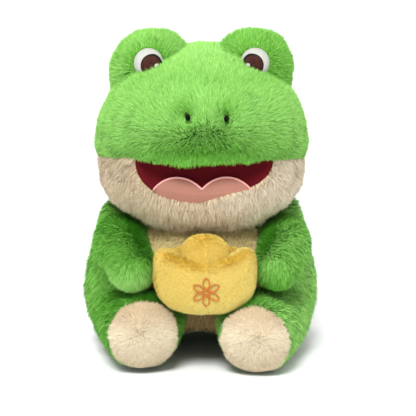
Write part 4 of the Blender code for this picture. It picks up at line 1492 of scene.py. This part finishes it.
class FROG_OT_mouth(FrogOperator, Operator):
    """Mouth: the maroon lining, the pink tongue and its stitched edge"""

    bl_idname = "frog.mouth"
    bl_label = "Mouth"

    def floor_place(self, x, z, lift):
        """The place along Y of the pocket's back wall, brought forward by lift."""
        wide = min(1, abs(x) / MOUTH_HALF_WIDTH)
        tall = min(1, abs(z - MOUTH_CORNER_HEIGHT) / MOUTH_DROP)
        left = 1 - wide ** MOUTH_FULLNESS - tall ** MOUTH_FULLNESS
        return (-MOUTH_CENTRE + MOUTH_WRAP * wide ** 2 - lift
                + MOUTH_DEPTH * math.sqrt(max(0, left)))

    def lobe_height(self, x):
        """Height of the tongue's lobed edge."""
        lobe = TONGUE_HALF_WIDTH / 2
        turn = (abs(x) - lobe) / lobe
        return (MOUTH_CORNER_HEIGHT - TONGUE_NOTCH_DROP
                + TONGUE_LOBE_RISE * max(0, 1 - abs(turn) ** TONGUE_LOBE_FULLNESS))

    def execute(self, context):
        """Build the mouth."""
        self.prepare(context, 5)
        c = self.colours
        lining = shaped_ball(MOUTH_FACETS, mouth_point)
        front = [v for v in lining.verts if v.co.y < -MOUTH_CENTRE + MOUTH_WRAP
                 * (v.co.x / MOUTH_HALF_WIDTH) ** 2 - LINING_MARGIN]
        bmesh.ops.delete(lining, geom=front, context="VERTS")
        set_back(lining, head_form(), LINING_SETBACK)
        thicken(lining, Vector((0, LINING_THICKNESS, 0)))
        velour = felt_material("maroon velour", c.maroon, 1100.0, 0.3, 0.04)
        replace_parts(keep("mouth_velour", lining, velour, "trunk", "maroon_velour"),
                    "mouth_lining")
        felt = felt_material("pink felt", c.pink, 800.0, 0.18)
        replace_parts(keep("tongue_felt", self.tongue(), felt, "trunk", "pink_felt"), "tongue")
        line = []
        for index in range(121):
            x = TONGUE_HALF_WIDTH * (index / 60 - 1)
            z = self.lobe_height(x)
            line.append((x + TONGUE_SHIFT, self.floor_place(x, z, TONGUE_EDGE_LIFT), z))
        thread = thread_material("pink edging", c.pink_edge, 1.0, 0.7)
        edge = tube(line, TONGUE_EDGE_RADIUS)
        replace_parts(keep("tongue_edging", edge, thread, "trunk", "pink_thread"), "tongue_edge")
        return {"FINISHED"}

    def tongue(self):
        """The plump tongue on the pocket's floor, from its lobed edge down to the lip."""
        mesh = bmesh.new()
        bmesh.ops.create_grid(mesh, x_segments=72, y_segments=20, size=1)
        for vertex in mesh.verts:
            x = TONGUE_HALF_WIDTH * vertex.co.x
            wide = abs(x) / MOUTH_HALF_WIDTH
            low = MOUTH_CORNER_HEIGHT - MOUTH_DROP * (1 - wide ** MOUTH_FULLNESS) ** (
                1 / MOUTH_FULLNESS)
            share = (vertex.co.y + 1) / 2
            z = low + (self.lobe_height(x) - low) * share
            plump = TONGUE_PLUMPNESS * (1 - share ** 4) * (1 - (abs(vertex.co.x) ** 6))
            vertex.co = Vector((x + TONGUE_SHIFT,
                                self.floor_place(x, z, TONGUE_LIFT + plump), z))
        set_back(mesh, head_form(), LINING_SETBACK - LINING_MARGIN)
        thicken(mesh, Vector((0, TONGUE_THICKNESS, 0)))
        return mesh


def set_back(mesh, form, setback):
    """Bring every point that stands in front of a form back behind its front."""
    tree = BVHTree.FromBMesh(form)
    form.free()
    for vertex in mesh.verts:
        start = Vector((vertex.co.x, -0.3, vertex.co.z))
        spot = tree.ray_cast(start, Vector((0, 1, 0)))[0]
        if spot and vertex.co.y < spot.y + setback:
            vertex.co.y = spot.y + setback


def thicken(mesh, shift):
    """Turn an open sheet into a closed one, its second face moved by shift."""
    sheet = mesh.faces[:]
    rim = [edge for edge in mesh.edges if edge.is_boundary]
    twins = {vertex: mesh.verts.new(vertex.co + shift)
             for vertex in mesh.verts[:] if vertex.link_faces}
    for face in sheet:
        mesh.faces.new([twins[vertex] for vertex in reversed(face.verts[:])])
    for edge in rim:
        start, end = edge.verts
        mesh.faces.new((start, end, twins[end], twins[start]))
    bmesh.ops.recalc_face_normals(mesh, faces=mesh.faces)


def tube(line, radius, closed=False, sides=10):
    """A round thread along a line, with a map whose first axis runs along it."""
    mesh = bmesh.new()
    layer = mesh.loops.layers.uv.new(MAP)
    points = [Vector(point) for point in line]
    count = len(points)
    rings = []
    for index, point in enumerate(points):
        ahead = points[(index + 1) % count] if closed or index < count - 1 else point
        behind = points[index - 1] if closed or index > 0 else point
        along = (ahead - behind).normalized()
        side = along.cross(Vector((0, 1, 0))).normalized()
        lift = side.cross(along)
        slim = 1 if closed else min(1, 0.3 + min(index, count - 1 - index) / 3)
        rings.append([mesh.verts.new(point + (side * math.cos(turn) + lift * math.sin(turn))
                                     * radius * slim)
                      for turn in (2 * math.pi * k / sides for k in range(sides))])
    spans = count if closed else count - 1
    for index in range(spans):
        ring, following = rings[index], rings[(index + 1) % count]
        for k in range(sides):
            m = (k + 1) % sides
            face = mesh.faces.new((ring[k], ring[m], following[m], following[k]))
            shares = ((index, k), (index, k + 1), (index + 1, k + 1), (index + 1, k))
            for loop, (u, v) in zip(face.loops, shares):
                loop[layer].uv = (u / spans, v / sides)
    if not closed:
        mesh.faces.new(reversed(rings[0]))
        mesh.faces.new(rings[-1])
    bmesh.ops.recalc_face_normals(mesh, faces=mesh.faces)
    return mesh


class FROG_OT_torso(FrogOperator, Operator):
    """Torso: its pad, the green back and the cream belly"""

    bl_idname = "frog.torso"
    bl_label = "Torso"

    def execute(self, context):
        """Build the torso."""
        self.prepare(context, 6)
        colours = self.colours

        def belly(points):
            oval = ((points[:, 0] / BELLY_HALF_WIDTH) ** 2
                    + ((points[:, 2] - BELLY_MIDDLE) / BELLY_HALF_HEIGHT) ** 2)
            low = ((np.abs(points[:, 0]) < BELLY_TAIL_HALF_WIDTH)
                   & (points[:, 2] < BELLY_MIDDLE))
            return ((oval < 1) | low) & (points[:, 1] < 0)

        def back(points):
            return ~belly(points) & (points[:, 2] > BACK_PILE_HEIGHT)

        # Backing colour: from painted shade between the legs to painted light under the chin
        def colour_at(points):
            high = ramp(points[:, 2:], *BELLY_UP)
            cream = (np.array(colours.belly_deep) * (1 - high)
                     + np.array(colours.belly_pale) * high)
            return np.where(belly(points)[:, None], cream, tuple(colours.green_root))

        skin = torso_form(self.depth)
        for vertex in skin.verts:
            vertex.co.z = max(vertex.co.z, FLOOR_GAP)
        self.pad("torso_pad", skin, "trunk", "green", colour_at, "torso_stuffing")
        covers = [(head_form(self.depth, COVER_FACETS), SEAM_SINK)]
        for side, way in SIDES:
            covers.append((arm_form(way, self.depth, LIMB_COVER_FACETS), ARM_SINK))
            covers.append((leg_form(side, way, self.depth, LIMB_COVER_FACETS), LEG_SINK))
        ground = Ground(torso_form(self.depth), covers)
        points, normals = self.scatter(ground, TORSO_STRANDS, back)
        flow = down(points) + 0.35 * unit(points * (1, 1, 0))
        length = self.pile.body_length * (0.35 + 0.65 * ramp(points[:, 2], *BACK_UP))
        # The back pile on the frog's left is given a paler tone than on its right: painted light
        left = points[:, 0] > 0
        for side, pick, tone in (("left", left, 0.48), ("right", ~left, 0.2)):
            nodes = ["torso_back_panel"] if side == "left" else []
            self.coat(side + "_torso_pile", (points[pick], normals[pick]), "green", "trunk",
                      flow[pick], length[pick], *nodes, width=1.4 * self.pile.strand_width,
                      lean=(38, 72), clump=0.12, tone=tone, spread=0.22, drift=0.2)
        points, normals = self.scatter(ground, BELLY_STRANDS, belly)
        # Belly pile toned from painted shade low down to painted light under the chin
        self.coat("belly_pile", (points, normals), "belly", "trunk",
                  down(points) + (0, -0.1, 0),
                  floor_lift(points, self.pile.body_length * 0.85), "belly_panel",
                  lean=(42, 72), clump=0.15, spread=0.25, width=BELLY_STRAND,
                  tone=np.interp(points[:, 2], BELLY_TONE_HEIGHTS, BELLY_TONES))
        return {"FINISHED"}


def floor_lift(points, length):
    """Shorter pile close to the floor, so that no strand reaches under it."""
    return length * np.clip((points[:, 2] - FLOOR_UP[0]) / FLOOR_UP[1], 0.15, 1)


class FROG_OT_arms(FrogOperator, Operator):
    """Arms: each one's pad and long green pile"""

    bl_idname = "frog.arms"
    bl_label = "Arms"

    def execute(self, context):
        """Build both arms."""
        self.prepare(context, 7)
        for side, way in SIDES:
            body = side + "_upper_limb"
            self.pad(side + "_arm_pad", arm_form(way, self.depth), body, "green",
                     self.plain(self.colours.green_root), side + "_arm_stuffing")
            ground = Ground(arm_form(way, self.depth),
                            [(torso_form(self.depth, COVER_FACETS), JOINT_SINK)])
            points, normals = self.scatter(ground, ARM_STRANDS, lambda p: p[:, 2] > 0)
            flow = down(points) + (way * 0.75, -0.7, 0) * np.clip(normals[:, 2], 0, 1)[:, None]
            low = ramp(points[:, 2], *PAW_DOWN)
            reach = ramp(points[:, 1], *PAW_FORWARD)
            under = np.clip(-normals[:, 2], 0, 1)
            # Painted light and shade: each arm's tone set by side, and changed from shoulder to
            # paw
            base, paw = ARM_TONES[side]
            self.coat(side + "_arm_pile", (points, normals), "green", body, flow,
                      self.pile.limb_length * (0.62 + 0.4 * reach * low) * (1 - 0.5 * under),
                      side + "_arm", lean=(38, 68), clump=0.1 + 0.25 * low, spread=0.22,
                      tone=base + (paw - base) * reach * low, width=FINE_STRAND, drift=0.12)
        return {"FINISHED"}


class FROG_OT_legs(FrogOperator, Operator):
    """Legs: each one's pad, its green pile and its cream sole"""

    bl_idname = "frog.legs"
    bl_label = "Legs"

    def execute(self, context):
        """Build both legs."""
        self.prepare(context, 8)
        colours = self.colours
        for side, way in SIDES:
            body = side + "_lower_limb"
            path = leg_path(side, way)
            ahead = np.array((path[-1] - path[0]).normalized())
            seam = np.array(path[-1]) + ahead * SOLE_SEAM

            def past_seam(points):
                return (points - seam) @ ahead

            def colour_at(points):
                return np.where(past_seam(points)[:, None] > 0, tuple(colours.sole_root),
                                tuple(colours.green_root))

            def leg(points):
                return (past_seam(points) < -LEG_PILE_END) & (points[:, 2] > LEG_PILE_HEIGHT)

            self.pad(side + "_leg_pad", leg_form(side, way, self.depth), body, "green",
                     colour_at, side + "_leg_stuffing")
            ground = Ground(leg_form(side, way, self.depth),
                            [(torso_form(self.depth, COVER_FACETS), JOINT_SINK)])
            points, normals = self.scatter(ground, LEG_STRANDS, leg)
            flow = down(points) + (way * 0.6, -0.6, 0) * np.clip(normals[:, 2], 0, 1)[:, None]
            length = self.pile.limb_length * (0.45 + 0.25 * ramp(past_seam(points), *THIGH_BACK))
            # The leg pile's tone differs by side: painted light
            self.coat(side + "_leg_pile", (points, normals), "green", body, flow,
                      floor_lift(points, length), side + "_leg", lean=(36, 72), clump=0.14,
                      spread=0.25, drift=0.2, tone=LEG_TONE[side])
            points, normals = self.scatter(ground, SOLE_STRANDS, lambda p: past_seam(p) >= 0)
            middle = np.array(path[-1]) + ahead * SOLE_BULGE
            self.sole(side, way, body, middle, points, normals)
        return {"FINISHED"}

    def sole(self, side, way, body, middle, points, normals):
        """Cream pile of one sole, swept outward from its middle, its tone painted light and shade:
        paler across the middle.
        """
        rim = np.clip(np.linalg.norm(points - middle, axis=1) / ANKLE_RADIUS, 0, 1)
        outward = unit(points - middle - (way * SOLE_PARTING_OUT, 0, SOLE_PARTING_RISE))
        ruffle = (0.5 + 0.6 * bell(rim, 0.35))[:, None]
        flow = outward * 1.1 + unit(self.rng.normal(size=points.shape)) * ruffle
        # Painted light and shade: palest across the middle, darker towards the bottom, the top and
        # the rim
        light = 0.94 - 0.5 * ramp(points[:, 2], *SOLE_DOWN)
        light = light - 0.95 * ramp(points[:, 2], *SOLE_UP)
        light = light - 0.2 * ramp(rim, 0.6, 0.4)
        points = points + normals * SOLE_PILE_LIFT
        self.coat(side + "_sole_pile", (points, normals), "sole", body, flow,
                  floor_lift(points, self.pile.sole_length * (0.66 - 0.1 * rim)),
                  side + "_sole", lean=(36, 68), spread=0.4, clump=0.3, clump_size=7,
                  tone=light, width=SOLE_STRAND)


class FROG_OT_ingot(FrogOperator, Operator):
    """Ingot: the stuffed boat, its dome, their short pile and the stitched rosette"""

    bl_idname = "frog.ingot"
    bl_label = "Ingot"

    def stitch_loop(self, name, turn, out, half_size, material):
        """An oval loop of thread on the boat, out from the rosette's middle along turn."""
        line = []
        for index in range(40):
            step = 2 * math.pi * index / 40
            along = out + half_size[0] * math.cos(step)
            across = half_size[1] * math.sin(step)
            x = along * math.sin(turn) + across * math.cos(turn)
            z = (INGOT_HEIGHT - ROSETTE_DROP + along * math.cos(turn)
                 - across * math.sin(turn))
            line.append((x, ingot_front(x, z) - ROSETTE_LIFT, z))
        return keep(name, tube(line, ROSETTE_THREAD, closed=True), material, "trunk",
                    "orange_thread")

    def velour(self, name, form, cover, tone):
        """Short gold pile on the front of one of the ingot's two forms."""
        ground = Ground(form(INGOT_DEPTH),
                        [(cover(INGOT_DEPTH, SMALL_COVER_FACETS), INGOT_SINK)])
        points, normals = self.scatter(ground, VELOUR_STRANDS,
                                       lambda p: p[:, 1] < INGOT_PILE_REAR)
        flow = down(points) + 0.5 * unit(points * (1, 0, 0))
        self.coat("ingot_" + name + "_velour", (points, normals), "gold", "trunk", flow,
                  self.pile.velour_length, "ingot_" + name, width=VELOUR_STRAND, lean=(25, 60),
                  spread=0.5, clump=0.08, tone=tone(points[:, 0]), steps=1)

    def execute(self, context):
        """Build the ingot."""
        self.prepare(context, 9)
        gold = self.plain(self.colours.gold_deep)
        self.pad("ingot_boat_pad", ingot_form(INGOT_DEPTH), "trunk", "gold", gold,
                 "ingot_stuffing", fill=0.8)
        self.pad("ingot_dome_pad", dome_form(INGOT_DEPTH), "trunk", "gold", gold, fill=0.8)
        # Boat tone: darker on the frog's right, painted shade; paler across the middle, painted
        # highlight
        self.velour("boat", ingot_form, dome_form, lambda x: (
            0.5 + 0.16 * np.clip(x / BOAT_TONE_REACH, -1, 0.2)
            + 0.14 * bell(x, BOAT_HIGHLIGHT_WIDTH)))
        self.velour("dome", dome_form, ingot_form, lambda x: 0.02)
        material = thread_material("orange thread", self.colours.orange, 16.0, 0.6)
        self.stitch_loop("rosette_centre", 0, 0, ROSETTE_CENTRE_HALF_SIZE, material)
        for index in range(ROSETTE_PETALS):
            turn = 2 * math.pi * index / ROSETTE_PETALS
            petal = self.stitch_loop("rosette_petal_%d" % (index + 1), turn, ROSETTE_REACH,
                                     PETAL_HALF_SIZE, material)
        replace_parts(petal, "ingot_emblem")
        return {"FINISHED"}


class FROG_OT_stage(Operator):
    """Stage: the floor, the lights and the camera"""

    bl_idname = "frog.stage"
    bl_label = "Stage"
    bl_options = {"REGISTER"}

    def execute(self, context):
        """Build the stage."""
        stage = context.scene.frog_stage
        self.floor(context)
        self.sky(context, stage.fill)
        lamp = bpy.data.lights.new("key", "SUN")
        lamp.energy = stage.key
        lamp.angle = KEY_ANGLE
        self.place(context, lamp, Vector((0, 0, 0)), Vector(KEY_DIRECTION))
        look = Vector((math.sin(stage.turn) * math.cos(stage.height),
                       math.cos(stage.turn) * math.cos(stage.height),
                       -math.sin(stage.height)))
        camera = bpy.data.cameras.new("camera")
        camera.sensor_width = SENSOR_WIDTH
        camera.lens = SENSOR_WIDTH * stage.distance / PICTURE_WIDTH
        where = Vector(CAMERA_TARGET) - look * stage.distance
        context.scene.camera = self.place(context, camera, where, look)
        context.scene.view_settings.view_transform = "Standard"
        return {"FINISHED"}

    def place(self, context, data, where, way):
        """Put a lamp or a camera at a place, facing along way."""
        item = bpy.data.objects.new(data.name, data)
        item.location = where
        item.rotation_euler = way.to_track_quat("-Z", "Y").to_euler()
        context.scene.collection.objects.link(item)
        return item

    def floor(self, context):
        """A plain pale floor."""
        mesh = bmesh.new()
        bmesh.ops.create_grid(mesh, x_segments=2, y_segments=2, size=6)
        data = bpy.data.meshes.new("floor")
        mesh.to_mesh(data)
        mesh.free()
        material = bpy.data.materials.new("pale floor")
        material.use_nodes = True
        shader = material.node_tree.nodes["Principled BSDF"]
        shader.inputs["Base Color"].default_value = (0.95, 0.95, 0.95, 1)
        shader.inputs["Roughness"].default_value = 1
        data.materials.append(material)
        ground = bpy.data.objects.new("floor", data)
        context.scene.collection.objects.link(ground)

    def sky(self, context, strength):
        """Even light from all round, seen as white by the camera and in the beads."""
        world = bpy.data.worlds.new("studio")
        world.use_nodes = True
        context.scene.world = world
        tree = world.node_tree
        light = tree.nodes["Background"]
        light.inputs["Color"].default_value = (1, 1, 1, 1)
        light.inputs["Strength"].default_value = strength
        shown = node(tree, "ShaderNodeBackground", Strength=1.0)
        shown.inputs["Color"].default_value = (1, 1, 1, 1)
        path = tree.nodes.new("ShaderNodeLightPath")
        seen = math_node(tree, "MAXIMUM", path.outputs["Is Camera Ray"],
                         path.outputs["Is Glossy Ray"])
        choice = tree.nodes.new("ShaderNodeMixShader")
        tree.links.new(seen, choice.inputs["Fac"])
        tree.links.new(light.outputs[0], choice.inputs[1])
        tree.links.new(shown.outputs[0], choice.inputs[2])
        tree.links.new(choice.outputs[0], tree.nodes["World Output"].inputs["Surface"])


class FROG_PT_build(Panel):
    """Lists what can be built"""

    bl_idname = "FROG_PT_build"
    bl_label = "Plush frog"
    bl_space_type = "VIEW_3D"
    bl_region_type = "UI"
    bl_category = "Frog"

    def draw(self, context):
        """List every setting and every operator."""
        for settings in (context.scene.frog_pile, context.scene.frog_colours,
                         context.scene.frog_stage):
            for name in settings.__annotations__:
                self.layout.prop(settings, name)
        for operator in OPERATORS:
            self.layout.operator(operator.bl_idname)


OPERATORS = (FROG_OT_head, FROG_OT_mounds, FROG_OT_eyes, FROG_OT_nostrils, FROG_OT_mouth,
             FROG_OT_torso, FROG_OT_arms, FROG_OT_legs, FROG_OT_ingot, FROG_OT_stage)
SETTINGS = (("frog_pile", FrogPile), ("frog_colours", FrogColours),
            ("frog_stage", FrogStage))


def register():
    """Make the settings, the operators and the panel known."""
    for name, kind in SETTINGS:
        bpy.utils.register_class(kind)
        setattr(bpy.types.Scene, name, PointerProperty(type=kind))
    for kind in (*OPERATORS, FROG_PT_build):
        bpy.utils.register_class(kind)


def unregister():
    """Take them away again."""
    for kind in (*OPERATORS, FROG_PT_build):
        bpy.utils.unregister_class(kind)
    for name, kind in SETTINGS:
        delattr(bpy.types.Scene, name)
        bpy.utils.unregister_class(kind)


def main():
    """Build every piece and the stage."""
    register()
    for operator in OPERATORS:
        group_name, call = operator.bl_idname.split(".")
        getattr(getattr(bpy.ops, group_name), call)()
    bpy.context.view_layer.update()


if __name__ == "__main__":
    main()
